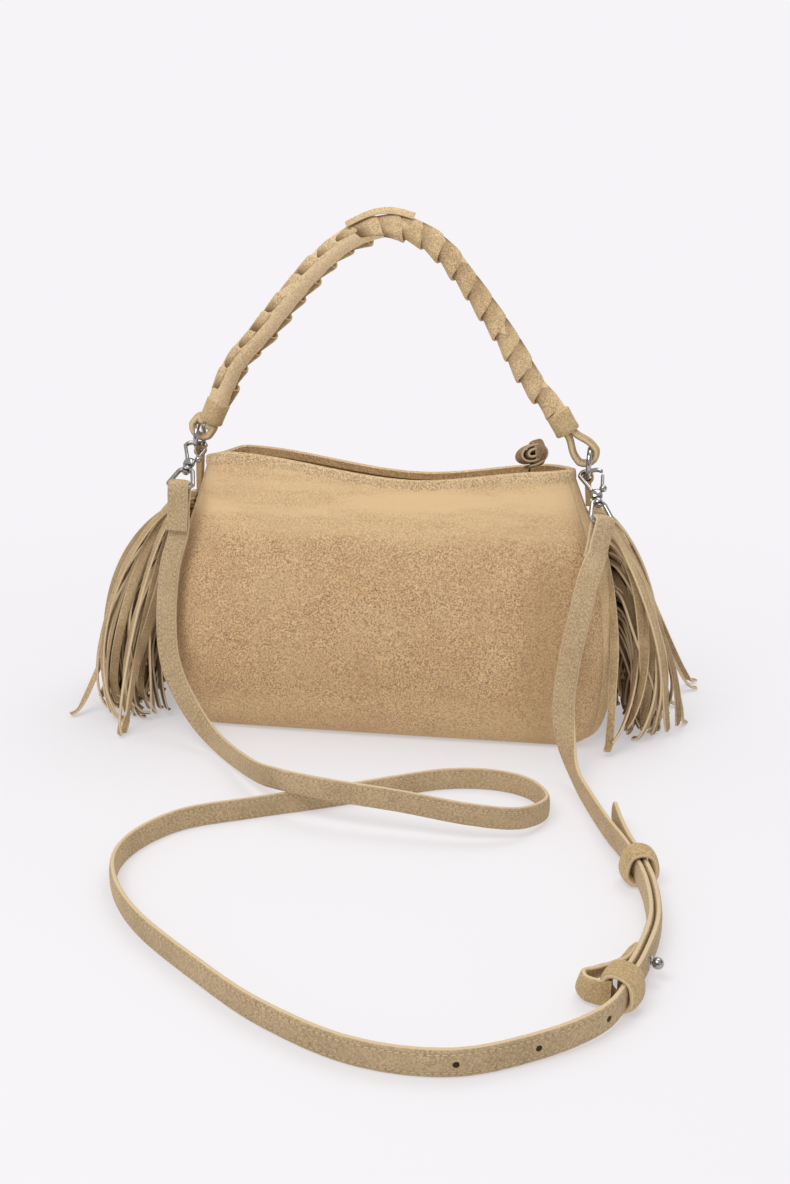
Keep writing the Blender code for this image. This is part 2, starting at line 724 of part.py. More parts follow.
def make_handle():
    line = handle_line()
    make_core(line)
    make_lace(line)
    for side, sign, first, second, ring in (("left", -1, line[0], line[2], RING_LEFT),
                                            ("right", 1, line[-1], line[-3], RING_RIGHT)):
        foot = Vector((ring[0], 0, ring[1])) + swing_axis() * sign * LOOP_SHIFT
        direction = (first - foot).normalized()
        make_collar(f"{side}_collar", first, second, direction)
        make_loop(f"{side}_handle_loop", foot, first, direction)


# Swivel hooks

def hook_frame(ring, lean):
    """Origin at the ring's centre, -Z down the hook, Y through its thickness."""
    forwards, sideways = lean
    return (Matrix.Translation((ring[0], 0, ring[1])) @ Matrix.Rotation(-forwards, 4, "X")
            @ Matrix.Rotation(sideways, 4, "Y"))


def flat_to_hook(frame):
    """Turns a plate drawn in X and Y so that its Y runs along the hook."""
    return frame @ Matrix.Rotation(math.radians(90), 4, "X")


def make_hook(side, frame):
    """The bow and base of the hook, with one leg left open for the gate."""
    reach, wire, corner = HOOK_HALF_WIDTH, HOOK_WIRE, HOOK_CORNER
    cx, cy = reach - corner, -HOOK_TOP - corner
    outer = (arc((cx, cy), corner, 10, 90, 4) + arc((-cx, cy), corner, 90, 180, 5)
             + [(-HOOK_WAIST_HALF - 0.0005, -HOOK_WAIST), (-HOOK_WAIST_HALF, -HOOK_WAIST - 0.0015),
                (-HOOK_WAIST_HALF, -HOOK_BASE), (HOOK_WAIST_HALF, -HOOK_BASE),
                (HOOK_WAIST_HALF, -HOOK_WAIST - 0.0022), (HOOK_WAIST_HALF * 0.9, -HOOK_WAIST - 0.0014)])
    inner = ([(0.0004, -HOOK_WAIST - 0.0014), (-0.0006, -HOOK_WAIST),
              (-0.0019, -HOOK_WAIST + 0.0011)]
             + arc((-cx, cy), corner - wire, 180, 90, 5) + arc((cx, cy), corner - wire, 90, 10, 4))
    bow = plate_mesh([outer + inner], HOOK_THICK, flat_to_hook(frame))
    neck_top, neck_end = -HOOK_BASE + 0.0006, -EYE_TOP - EYE_HUB - 0.0008
    neck_place = frame @ Matrix.Translation((0, 0, (neck_top + neck_end) / 2))
    neck = cylinder_mesh(NECK_RADIUS, neck_top - neck_end, neck_place, 12)
    head_place = frame @ Matrix.Translation((0, 0, -EYE_TOP - EYE_HUB - 0.0009))
    head = cylinder_mesh(NECK_RADIUS + 0.0007, 0.0012, head_place, 12)
    add_part(f"{side}_hook", unite(bow, [neck, head]), STEEL, 0.15, 1.0)


def make_gate(side, frame):
    """The sprung leg, hinged beside the base, with a ball to push it by."""
    reach, wire = HOOK_HALF_WIDTH, HOOK_WIRE
    cy = -HOOK_TOP - HOOK_CORNER
    foot = -HOOK_WAIST - 0.0006
    outline = [(reach - wire, cy - 0.0005), (reach, cy - 0.0003), (reach, cy - 0.0010),
               (HOOK_WAIST_HALF + 0.0006, foot), (HOOK_WAIST_HALF - 0.0016, foot)]
    bar = plate_mesh([outline], wire, flat_to_hook(frame))
    ball_place = frame @ Matrix.Translation((HOOK_WAIST_HALF + 0.0016, 0, foot + 0.0008))
    ball = ball_mesh((GATE_BALL,) * 3, ball_place, 10, 6)
    add_part(f"{side}_gate", unite(bar, [ball]), STEEL, 0.15, 1.0)


def make_eye(side, frame, turn):
    """The bail that the strap is folded through, free to turn on the hook's neck."""
    turned = frame @ Matrix.Rotation(turn, 4, "Z")
    half = EYE_HALF_WIDTH
    hub_z, bottom = -EYE_TOP - EYE_HUB / 2, -EYE_BOTTOM
    r = EYE_CORNER
    shoulder = half * 0.62
    outline = (arc((half - r, bottom + r), r, -90, 0, 3)
               + arc((shoulder - r, hub_z - r), r, 20, 90, 3)
               + arc((-shoulder + r, hub_z - r), r, 90, 160, 3)
               + arc((-half + r, bottom + r), r, 180, 270, 3))
    ring = wire_mesh([(x, 0, z) for x, z in outline], EYE_WIRE, 1, True, turned)
    at_hub = turned @ Matrix.Translation((0, 0, hub_z))
    hub = cylinder_mesh(NECK_RADIUS + 0.0016, EYE_HUB, at_hub, 14)
    bore = cylinder_mesh(NECK_RADIUS + 0.0003, 2 * EYE_HUB, at_hub, 14)
    obj = add_part(f"{side}_eye", unite(ring, [hub]), STEEL, 0.15, 1.0)
    boolean(obj, add_cutter(f"{side}_eye_bore", bore), "DIFFERENCE")
    bar = turned @ Vector((0, 0, bottom))
    return bar, (turned.to_3x3() @ X_AXIS).normalized()


# Crossbody strap

def strap_fold(bar, axis, hang, short_side, short_length):
    """Points and across directions of the strap folded over the eye's bar."""
    hang = (hang - axis * hang.dot(axis)).normalized()
    front = hang.cross(axis).normalized() * short_side
    reach = EYE_WIRE + STRAP_FOLD_GAP + STRAP_THICK / 2
    apart = STRAP_THICK / 2 + STRAP_FOLD_GAP
    plan = [(apart, short_length), (apart, 0.013), (reach * 0.92, 0.0050), (reach, 0.0),
            (reach * 0.7, -reach * 0.7), (0.0, -reach), (-reach * 0.7, -reach * 0.7),
            (-reach, 0.0), (-reach * 0.92, 0.0050), (-apart, 0.013)]
    rows = [(*(bar + front * g + hang * h), *axis) for g, h in plan]
    return rows, bar - front * apart, hang


def strap_row(place, across):
    return (*place, *across)


def ribbon(name, rows):
    """A flat cord along rows of place and across direction."""
    places = [Vector(row[:3]) for row in rows]
    tilts = []
    for i, row in enumerate(rows):
        before = (places[i] - places[i - 1]).normalized() if i else Vector((0, 0, 0))
        after = (places[i + 1] - places[i]).normalized() if i + 1 < len(rows) else Vector((0, 0, 0))
        along = (before + after).normalized()
        wanted = Vector(row[3:])
        wanted = (wanted - along * wanted.dot(along)).normalized()
        level = (Z_AXIS - along * along.z).normalized()
        tilts.append(math.atan2(level.cross(wanted).dot(along), level.dot(wanted)))
    obj = curve_object([places], STRAP_THICK / 2, 1, extrude=(STRAP_WIDTH - STRAP_THICK) / 2,
                       tilts=tilts)
    bpy.context.scene.collection.objects.unlink(obj)
    PARTS.objects.link(obj)
    obj.name = name
    obj.data.name = name
    obj.data.materials.append(material(name, SUEDE_SMOOTH, 0.9))
    return obj


def outward(i, places):
    """Level direction to the right of the shared run, away from the bag's middle."""
    a, b = places[max(i - 1, 0)], places[min(i + 1, len(places) - 1)]
    along = (b - a).normalized()
    return along.cross(Z_AXIS).normalized(), along


# Place and how far the strap has turned from lying across the drop to standing on edge
LEFT_DROP = ((-0.1345, -0.0470, 0.1050, 0.0), (-0.1355, -0.0555, 0.0700, 0.0),
             (-0.1300, -0.0640, 0.0450, 0.15), (-0.1140, -0.0760, 0.0230, 0.5),
             (-0.0945, -0.0906, 0.0100, 0.85))
RAISED_RUN = ((-0.0622, -0.1307, 0.0135), (-0.0400, -0.1540, 0.0198), (-0.0091, -0.1653, 0.0212),
              (0.0300, -0.1694, 0.0195), (0.0670, -0.1708, 0.0155), (0.0939, -0.1632, 0.0115),
              (0.1070, -0.1400, 0.0080), (0.0964, -0.1172, 0.0068))
RETURN_RUN = ((0.0750, -0.1085, 0.0067), (0.0480, -0.1115, 0.0067), (0.0200, -0.1255, 0.0067),
              (-0.0140, -0.1450, 0.0067), (-0.0540, -0.1650, 0.0067), (-0.0880, -0.1850, 0.0067),
              (-0.1050, -0.2160, 0.0067), (-0.1020, -0.2480, 0.0067), (-0.0780, -0.2840, 0.0067),
              (-0.0350, -0.3210, 0.0067), (0.0000, -0.3460, 0.0067), (0.0410, -0.3640, 0.0067),
              (0.0810, -0.3650, 0.0067), (0.1150, -0.3490, 0.0070))
SHARED_RUN = ((0.1380, -0.3290, 0.0085), (0.1485, -0.3080, 0.0095), (0.1560, -0.2850, 0.0092),
              (0.1620, -0.2550, 0.0088), (0.1610, -0.2260, 0.0090), (0.1560, -0.2020, 0.0095),
              (0.1500, -0.1830, 0.0095))
TAIL_END = ((0.1475, -0.1620, 0.0080), (0.1440, -0.1390, 0.0067))
SHORT_RUN = ((0.1400, -0.1600, 0.0080), (0.1310, -0.1300, 0.0067), (0.1220, -0.1020, 0.0090))
RIGHT_DROP = ((0.1150, -0.0830, 0.0230, 0.55), (0.1125, -0.0740, 0.0430, 0.2),
              (0.1150, -0.0660, 0.0690, 0.0), (0.1195, -0.0590, 0.0930, 0.0))


def drop_rows(rows, across):
    return [strap_row(row[:3], across.lerp(Z_AXIS, row[3])) for row in rows]


def floor_rows(rows):
    return [strap_row(row, Z_AXIS) for row in rows]


def make_straps(left_bar, left_axis, right_bar, right_axis):
    shared = [Vector(p) for p in SHARED_RUN]
    layer = STRAP_THICK / 2 + STRAP_FOLD_GAP
    outer, inner = [], []
    for i, place in enumerate(shared):
        side, _ = outward(i, shared)
        outer.append(place + side * layer)
        inner.append(place - side * layer)

    fold, start, hang = strap_fold(left_bar, left_axis, Vector((-0.08, -0.18, -1.0)), 1, 0.027)
    rows = ([strap_row(start + hang * 0.029, left_axis)] + drop_rows(LEFT_DROP, X_AXIS)
            + floor_rows(RAISED_RUN) + floor_rows(RETURN_RUN) + floor_rows(outer)
            + floor_rows(TAIL_END))
    ribbon("strap_long", fold + [tuple(v) for v in through(rows, 2)])

    fold, start, hang = strap_fold(right_bar, right_axis, Vector((-0.25, -0.27, -0.93)), -1, 0.022)
    middle = right_axis.lerp(X_AXIS, 0.6)
    rows = ([strap_row(start + hang * 0.020, right_axis), strap_row((0.1235, -0.0500, 0.1130), middle)]
            + drop_rows(RIGHT_DROP[::-1], X_AXIS) + floor_rows(SHORT_RUN[::-1])
            + floor_rows(inner[::-1][:-1]))
    ribbon("strap_short", fold + [tuple(v) for v in through(rows, 2)])
    return shared


def rounded_box(left, right, low, high, radius):
    """Outline of a box with rounded corners, anticlockwise."""
    return (arc((right - radius, low + radius), radius, -90, 0, 3)
            + arc((right - radius, high - radius), radius, 0, 90, 3)
            + arc((left + radius, high - radius), radius, 90, 180, 3)
            + arc((left + radius, low + radius), radius, 180, 270, 3))


def keeper_frame(index, shared):
    side, along = outward(index, shared)
    place = Vector((shared[index].x, shared[index].y, 0.0))
    level = Vector((along.x, along.y, 0.0)).normalized()
    turn = Matrix((side, Z_AXIS, side.cross(Z_AXIS))).transposed().to_4x4()
    return Matrix.Translation(place) @ turn, level


def keeper_mesh(frame, left, right):
    low = KEEPER_LIFT + KEEPER_WALL
    high = low + STRAP_WIDTH + KEEPER_GAP
    wall = KEEPER_WALL
    outside = rounded_box(left - wall, right + wall, low - wall, high + wall, 0.0036)
    inside = rounded_box(left, right, low, high, 0.0016)
    return plate_mesh([outside, inside], KEEPER_LENGTH, frame)


def make_keepers(shared):
    frame, _ = keeper_frame(5, shared)
    add_part("sliding_keeper", keeper_mesh(frame, -KEEPER_ROOM, KEEPER_ROOM), SUEDE_SMOOTH)
    frame, level = keeper_frame(1, shared)
    ring = keeper_mesh(frame, -END_LOOP_REACH, KEEPER_ROOM)
    side = Vector((level.y, -level.x, 0.0))
    root = frame.translation - side * (END_LOOP_REACH + KEEPER_WALL / 2)
    tip = root + level * END_TAB_LENGTH + side * 0.0050
    low = KEEPER_LIFT + 0.0012
    direction = (tip - root).normalized()
    turn = Matrix((direction, Z_AXIS.cross(direction), Z_AXIS)).transposed().to_4x4()
    size = (END_TAB_LENGTH, KEEPER_WALL * 0.9, STRAP_WIDTH)
    tab = box_mesh(size, (END_TAB_LENGTH / 2, 0, low + STRAP_WIDTH / 2),
                   Matrix.Translation(root) @ turn)
    add_part("end_loop", unite(ring, [tab]), SUEDE_SMOOTH)


def make_stud(shared):
    """A ball stud on the outer layer of the doubled strap."""
    side, _ = outward(2, shared)
    face = shared[2] + side * (STRAP_THICK + STRAP_FOLD_GAP + 0.0001)
    turn = side.to_track_quat("Z", "Y").to_matrix().to_4x4()
    place = Matrix.Translation(face) @ turn
    base = cylinder_mesh(0.0031, 0.0010, place @ Matrix.Translation((0, 0, 0.0007)), 14)
    post = cylinder_mesh(0.0013, 0.0040, place @ Matrix.Translation((0, 0, 0.0024)), 10)
    ball = ball_mesh((0.0025,) * 3, place @ Matrix.Translation((0, 0, 0.0052)), 10, 6)
    add_part("strap_stud", unite(base, [post, ball]), STEEL, 0.15, 1.0)


# Fringe

def strand_mesh(root, azimuth, side, level, shares):
    """A flat suede thong that arches out of the header and hangs to the floor."""
    rise, reach_out, reach_mid, reach_end = shares
    shrink = 1.0 - 0.20 * level
    spread = 1.0 - 0.30 * (azimuth / math.radians(75)) ** 2
    heading = Vector((side * math.cos(azimuth), math.sin(azimuth), 0))
    across = Vector((-heading.y, heading.x, 0))
    end_z = 0.0045 + 0.0030 * level
    stops = [root, root + heading * reach_out * shrink + Z_AXIS * (rise - 0.003 * level),
             root + heading * reach_mid * shrink * spread,
             root + heading * reach_end * shrink * spread]
    stops[2].z = (0.66 - 0.08 * level) * root.z
    stops[3].z = end_z
    places = []
    for k in range(STRAND_STEPS + 1):
        t = k / STRAND_STEPS
        places.append(stops[0] * (1 - t) ** 3 + stops[1] * 3 * t * (1 - t) ** 2
                      + stops[2] * 3 * t * t * (1 - t) + stops[3] * t ** 3)

    def build(bm):
        rings = []
        for i, place in enumerate(places):
            a, b = places[max(i - 1, 0)], places[min(i + 1, len(places) - 1)]
            normal = (b - a).normalized().cross(across).normalized()
            w, n = across * STRAND_WIDTH / 2, normal * STRAND_THICK / 2
            rings.append([bm.verts.new(place + p) for p in (-w - n, w - n, w + n, -w + n)])
        ring_faces(bm, rings, close_first=True, close_last=True)
    return mesh_from(build)


def header_mesh(side, y):
    """The stitched bar on the gusset that the strands grow out of."""
    bends = [row[0] for row in BODY_PROFILE if FRINGE_FOOT < row[0] < FRINGE_TOP]
    heights = [FRINGE_FOOT] + bends + [FRINGE_TOP]
    near = [(gusset_x(side, z) + side * SEAM_GAP, z) for z in heights]
    far = [(x + side * FRINGE_BAR_DEPTH, z) for x, z in reversed(near)]
    stand = Matrix.Translation((0, y, 0)) @ Matrix.Rotation(math.radians(90), 4, "X")
    return plate_mesh([near + far], FRINGE_BAR, stand)


FRINGE_SHAPES = {          # rise and reaches of the outermost strand at mid depth
    -1: (0.0110, 0.0330, 0.0640, 0.0830),
    1: (0.0060, 0.0180, 0.0410, 0.0640),
}
FRINGE_BUNCHES = (         # name, header's y, first and last azimuth in degrees
    ("front", -0.0042, -62, -29),
    ("middle", 0.0022, -13, 13),
    ("back", 0.0086, 29, 62),
)


def make_fringe():
    for side, side_name in ((-1, "left"), (1, "right")):
        for name, y, first, last in FRINGE_BUNCHES:
            strands = []
            for level in range(FRINGE_LEVELS):
                for k in range(FRINGE_FAN):
                    share = k / (FRINGE_FAN - 1)
                    wave = math.sin(2.4 * k + 1.7 * level + y * 300)
                    azimuth = math.radians(mix(first, last, share) + 2.5 * wave)
                    z = mix(FRINGE_TOP, FRINGE_FOOT, (level + 0.25 + 0.12 * wave) / FRINGE_LEVELS)
                    clear = STRAND_WIDTH * 0.45 * abs(math.sin(azimuth))
                    x = gusset_x(side, z) + side * (SEAM_GAP + 0.0014 + clear)
                    root = Vector((x, y + (share - 0.5) * 0.0012, z))
                    strands.append(strand_mesh(root, azimuth, side, level, FRINGE_SHAPES[side]))
            mesh = unite(header_mesh(side, y), strands)
            add_part(f"{side_name}_fringe_{name}", mesh, SUEDE_SKIN, smooth=False)


make_body()
make_lining()
make_binding()
make_facing()
make_zip()
make_puller(make_slider())
for SIDE, SIGN, RING in (("left", -1, RING_LEFT), ("right", 1, RING_RIGHT)):
    make_ring(f"{SIDE}_ring", RING)
    make_tab(f"{SIDE}_ring_tab", SIGN, RING)
make_handle()
LEFT_FRAME = hook_frame(RING_LEFT, HOOK_LEFT_LEAN)
RIGHT_FRAME = hook_frame(RING_RIGHT, (HOOK_RIGHT_LEAN[0], -HOOK_RIGHT_LEAN[1]))
for SIDE, FRAME in (("left", LEFT_FRAME), ("right", RIGHT_FRAME)):
    make_hook(SIDE, FRAME)
    make_gate(SIDE, FRAME)
LEFT_BAR, LEFT_AXIS = make_eye("left", LEFT_FRAME, 0.0)
RIGHT_BAR, RIGHT_AXIS = make_eye("right", RIGHT_FRAME, EYE_RIGHT_TURN)
SHARED = make_straps(LEFT_BAR, LEFT_AXIS, RIGHT_BAR, RIGHT_AXIS)
make_keepers(SHARED)
make_stud(SHARED)
make_fringe()
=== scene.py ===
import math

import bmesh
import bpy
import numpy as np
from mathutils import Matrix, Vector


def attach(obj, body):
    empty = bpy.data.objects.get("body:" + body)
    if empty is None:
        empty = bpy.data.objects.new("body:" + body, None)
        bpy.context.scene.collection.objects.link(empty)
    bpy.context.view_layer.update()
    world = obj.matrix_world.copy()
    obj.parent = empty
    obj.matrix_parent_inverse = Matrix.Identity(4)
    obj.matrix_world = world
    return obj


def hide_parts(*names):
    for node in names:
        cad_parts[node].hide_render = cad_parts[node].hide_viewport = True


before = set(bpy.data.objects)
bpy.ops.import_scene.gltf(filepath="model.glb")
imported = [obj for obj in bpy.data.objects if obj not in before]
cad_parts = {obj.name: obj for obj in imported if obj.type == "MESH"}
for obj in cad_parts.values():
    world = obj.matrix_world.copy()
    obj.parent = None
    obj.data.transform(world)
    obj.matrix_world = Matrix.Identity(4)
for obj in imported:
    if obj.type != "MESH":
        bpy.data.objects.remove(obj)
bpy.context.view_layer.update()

# %% [markdown]
# # Fringed suede bag
# A small soft shoulder bag of golden suede. A laced handle hangs on two rings, a long
# crossbody strap is clipped to the same rings, and thick bunches of cut thongs cover both
# ends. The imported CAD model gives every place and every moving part; this scene gives the
# same pieces their soft shapes, nap, stitches and metal shine.
#
# Every surface below is a grid of places worked out from two parameters, so one short
# formula holds the whole shape of a piece and it stays smooth from any distance.

UP = np.array([0.0, 0.0, 1.0])
AWAY = np.array([0.0, 1.0, 0.0])


def smooth_step(t):
    t = np.clip(t, 0.0, 1.0)
    return t * t * (3.0 - 2.0 * t)


def unit(v):
    return v / np.maximum(np.linalg.norm(v, axis=-1, keepdims=True), 1e-12)


def arc_length(line):
    steps = np.linalg.norm(np.diff(line, axis=0), axis=1)
    return np.concatenate([[0.0], np.cumsum(steps)])


def through(rows, count):
    """Catmull-Rom curve through rows of numbers, at evenly spaced places along it."""
    rows = np.asarray(rows, float)
    ends = np.vstack([2 * rows[0] - rows[1], rows, 2 * rows[-1] - rows[-2]])
    t = np.linspace(0, 1, 24, endpoint=False)[None, :, None]
    a, b, c, d = ends[:-3, None], ends[1:-2, None], ends[2:-1, None], ends[3:, None]
    line = 0.5 * (2 * b + (c - a) * t + (2 * a - 5 * b + 4 * c - d) * t ** 2
                  + (3 * b - a - 3 * c + d) * t ** 3)
    line = np.vstack([line.reshape(-1, rows.shape[1]), rows[-1:]])
    gone = arc_length(line[:, :3])
    wanted = np.linspace(0, gone[-1], count)
    return np.stack([np.interp(wanted, gone, column) for column in line.T], -1)


print("curve tools ready")

# %% [markdown]
# Most pieces are bands, wires or tubes: one outline carried along a middle line. A curve
# object with a bevel could do that, but a worked-out sweep also hands over how far along
# and across each place lies, and stitches and cut edges need exactly that.

# %% Sections and sweeps


def oval(width, thick, count, power=2.6):
    """Outline of a rounded band: width across, thickness through, as two columns."""
    a = np.linspace(0, 2 * np.pi, count, endpoint=False)
    c, s = np.cos(a), np.sin(a)
    return np.stack([width / 2 * np.sign(c) * np.abs(c) ** (2 / power),
                     thick / 2 * np.sign(s) * np.abs(s) ** (2 / power)], -1)


def cut_edge(section, start, blend):
    """1 on the cut sides of a band, from a distance off its middle line outwards."""
    return smooth_step((np.abs(section[:, 0]) - start) / blend)


def sweep(line, across, section, closed=False):
    """Places of a section carried along lines: line[..., i, 3], section[..., j, 2].

    place(i, j) = line(i) + A(i) * section(j, 0) + N(i) * section(j, 1), where A is the
    across direction made square to the line and N is square to both.
    """
    if closed:
        along = np.roll(line, -1, axis=-2) - np.roll(line, 1, axis=-2)
    else:
        along = np.gradient(line, axis=-2)
    along = unit(along)
    across = across - along * np.sum(across * along, -1, keepdims=True)
    across = unit(across)
    normal = np.cross(along, across)
    return (line[..., :, None, :] + across[..., :, None, :] * section[..., 0, None]
            + normal[..., :, None, :] * section[..., 1, None])


def shell(points, wrap_u=False, wrap_v=True, caps=True, **fields):
    """One grid, or a stack of grids, of places with its number fields."""
    points = np.asarray(points, float)
    if points.ndim == 3:
        points = points[None]
    shape = points.shape[:3]
    fields = {key: np.broadcast_to(value, shape).astype(float) for key, value in fields.items()}
    return points, wrap_u, wrap_v, caps, fields


print("section tools ready")

# %% [markdown]
# A grid becomes a mesh in one step: the four corners of every face come from one table of
# numbers. The number fields go with it as attributes, the normals are turned outwards, and
# the object is tied to the CAD body that carries it.

# %% From grids to meshes


def faces_of(shape, wrap_u, wrap_v, caps, start):
    index = np.arange(start, start + shape[0] * shape[1] * shape[2]).reshape(shape)
    if wrap_u:
        index = np.concatenate([index, index[:, :1]], 1)
    ring = index
    if wrap_v:
        index = np.concatenate([index, index[:, :, :1]], 2)
    quads = np.stack([index[:, :-1, :-1], index[:, 1:, :-1], index[:, 1:, 1:],
                      index[:, :-1, 1:]], -1).reshape(-1, 4).tolist()
    if caps and not wrap_u:
        quads += ring[:, 0].tolist() + ring[:, -1, ::-1].tolist()
    return quads


def build(name, shells, body, nodes=(), sharp=50, outward=True):
    """An object from shells, tied to a CAD body and standing for its CAD nodes."""
    verts, faces, fields, start = [], [], {}, 0
    keys = sorted({key for part in shells for key in part[4]})
    for points, wrap_u, wrap_v, caps, extra in shells:
        faces += faces_of(points.shape[:3], wrap_u, wrap_v, caps, start)
        verts.append(points.reshape(-1, 3))
        count = len(verts[-1])
        for key in keys:
            value = extra[key].reshape(-1) if key in extra else np.zeros(count)
            fields.setdefault(key, []).append(value)
        start += count
    mesh = bpy.data.meshes.new(name)
    mesh.from_pydata(np.vstack(verts), [], faces)
    if outward:
        bm = bmesh.new()
        bm.from_mesh(mesh)
        bmesh.ops.recalc_face_normals(bm, faces=bm.faces)
        bm.to_mesh(mesh)
        bm.free()
    for key, values in fields.items():
        mesh.attributes.new(key, "FLOAT", "POINT")
        mesh.attributes[key].data.foreach_set("value", np.concatenate(values).astype(np.float32))
    mesh.shade_smooth()
    mesh.set_sharp_from_angle(angle=math.radians(sharp))
    obj = bpy.data.objects.new(name, mesh)
    bpy.context.scene.collection.objects.link(obj)
    if nodes:
        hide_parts(*nodes)
    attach(obj, body)
    return obj


def paint(obj, material):
    obj.data.materials.clear()
    obj.data.materials.append(material)


# %% [markdown]
# ## Camera
# The photograph was taken from in front, a little to the right of the bag and from about
# its double height. The strap's known width and the flat floor fixed this place, so the
# same camera sees the same outline.

# %% Camera
PLACE = Vector((0.1288, -0.7997, 0.3370))
FORWARD = Vector((-0.1517, 0.9419, -0.2995))
camera_data = bpy.data.cameras.new("camera")
camera_data.lens = 40.0
camera_data.sensor_fit = "VERTICAL"
camera_data.sensor_height = 36.0
camera_data.clip_start = 0.01
camera = bpy.data.objects.new("camera", camera_data)
camera.location = PLACE
camera.rotation_euler = FORWARD.to_track_quat("-Z", "Y").to_euler()
bpy.context.scene.collection.objects.link(camera)
bpy.context.scene.camera = camera
print("camera at", tuple(round(v, 3) for v in PLACE))

# %% [markdown]
# ## Floor and light
# A white studio table that runs into a white wall: the floor takes shadows near the bag
# and turns into the plain backdrop farther away. Shader nodes do that here, as a curved
# sheet would need far more room. A few short helpers come first, because the floor and
# every finish is a small tree of the same nodes.

# %% Shader node helpers


def node_in(tree, kind, **values):
    made = tree.nodes.new(kind)
    for key, value in values.items():
        if key in made.inputs:
            made.inputs[key].default_value = value
        else:
            setattr(made, key, value)
    return made


def feed(tree, socket, value):
    if isinstance(value, bpy.types.NodeSocket):
        tree.links.new(value, socket)
    else:
        socket.default_value = value


def calc(tree, operation, a, b=0.0, c=0.0, clamp=False):
    made = tree.nodes.new("ShaderNodeMath")
    made.operation = operation
    made.use_clamp = clamp
    for socket, value in zip(made.inputs, (a, b, c)):
        feed(tree, socket, value)
    return made.outputs[0]


def ramp(tree, value, low, high, to_low=0.0, to_high=1.0):
    made = tree.nodes.new("ShaderNodeMapRange")
    made.interpolation_type = "SMOOTHSTEP"
    for socket, number in zip(made.inputs, (value, low, high, to_low, to_high)):
        feed(tree, socket, number)
    return made.outputs[0]


def blend_colour(tree, factor, a, b, kind="MIX"):
    made = tree.nodes.new("ShaderNodeMix")
    made.data_type = "RGBA"
    made.blend_type = kind
    feed(tree, made.inputs[0], factor)
    feed(tree, made.inputs[6], (*a, 1.0) if isinstance(a, tuple) else a)
    feed(tree, made.inputs[7], (*b, 1.0) if isinstance(b, tuple) else b)
    return made.outputs[2]


print("node helpers ready")

# %% [markdown]
# The floor is one large sheet. Near the bag it is matt and takes the soft shadows; farther
# out it fades into the even glow of the backdrop, so no horizon shows.

# %% Floor
BACKDROP = (0.925, 0.905, 0.935, 1.0)
FLOOR_HALF = 6.0
SHADOW_REACH, BACKDROP_REACH = 0.20, 0.70


def flat_sheet(name, x, y):
    """A rectangle of half sizes x and y round the origin."""
    mesh = bpy.data.meshes.new(name)
    mesh.from_pydata([(-x, -y, 0), (x, -y, 0), (x, y, 0), (-x, y, 0)], [], [(0, 1, 2, 3)])
    obj = bpy.data.objects.new(name, mesh)
    bpy.context.scene.collection.objects.link(obj)
    return obj


def make_floor():
    obj = flat_sheet("floor", FLOOR_HALF, FLOOR_HALF)
    made = bpy.data.materials.new("studio_floor")
    made.use_nodes = True
    tree = made.node_tree
    tree.nodes.clear()
    where = tree.nodes.new("ShaderNodeTexCoord").outputs["Object"]
    shifted = node_in(tree, "ShaderNodeVectorMath", operation="SUBTRACT")
    feed(tree, shifted.inputs[0], where)
    shifted.inputs[1].default_value = (0.0, -0.12, 0.0)
    reach = node_in(tree, "ShaderNodeVectorMath", operation="LENGTH")
    feed(tree, reach.inputs[0], shifted.outputs[0])
    far = ramp(tree, reach.outputs["Value"], SHADOW_REACH, BACKDROP_REACH, 0.42, 1.0)
    matt = node_in(tree, "ShaderNodeBsdfDiffuse", Color=(0.815, 0.815, 0.855, 1.0))
    glow = node_in(tree, "ShaderNodeEmission", Color=BACKDROP, Strength=1.0)
    both = tree.nodes.new("ShaderNodeMixShader")
    feed(tree, both.inputs[0], far)
    feed(tree, both.inputs[1], matt.outputs[0])
    feed(tree, both.inputs[2], glow.outputs[0])
    out = tree.nodes.new("ShaderNodeOutputMaterial")
    feed(tree, out.inputs[0], both.outputs[0])
    paint(obj, made)


make_floor()
print("floor made")

# %% [markdown]
# A wide lamp above and in front gives the soft shadow under the strap, a second one lifts
# the top edges, and the pale room fills the rest. Polished metal that mirrors nothing but a
# pale room looks like plaster, so three black cards stand round the table, as in a
# photographer's studio. They show in reflections only.

# %% Room, lamps and cards


def make_room():
    world = bpy.data.worlds.new("studio")
    bpy.context.scene.world = world
    world.use_nodes = True
    tree = world.node_tree
    tree.nodes.clear()
    rays = tree.nodes.new("ShaderNodeLightPath")
    room = node_in(tree, "ShaderNodeBackground", Color=(1.0, 0.985, 0.965, 1.0), Strength=0.62)
    wall = node_in(tree, "ShaderNodeBackground", Color=BACKDROP, Strength=1.0)
    both = tree.nodes.new("ShaderNodeMixShader")
    feed(tree, both.inputs[0], rays.outputs["Is Camera Ray"])
    feed(tree, both.inputs[1], room.outputs[0])
    feed(tree, both.inputs[2], wall.outputs[0])
    out = tree.nodes.new("ShaderNodeOutputWorld")
    feed(tree, out.inputs[0], both.outputs[0])


def aim_at(obj, place, aim):
    """Stands a lamp or a card at a place and turns its face to the aim."""
    obj.location = place
    obj.rotation_euler = (Vector(aim) - Vector(place)).to_track_quat("-Z", "Y").to_euler()


def add_lamp(name, place, aim, size, power, colour=(1.0, 0.985, 0.96)):
    data = bpy.data.lights.new(name, "AREA")
    data.shape = "RECTANGLE"
    data.size, data.size_y = size
    data.energy = power
    data.color = colour
    lamp = bpy.data.objects.new(name, data)
    aim_at(lamp, place, aim)
    bpy.context.scene.collection.objects.link(lamp)


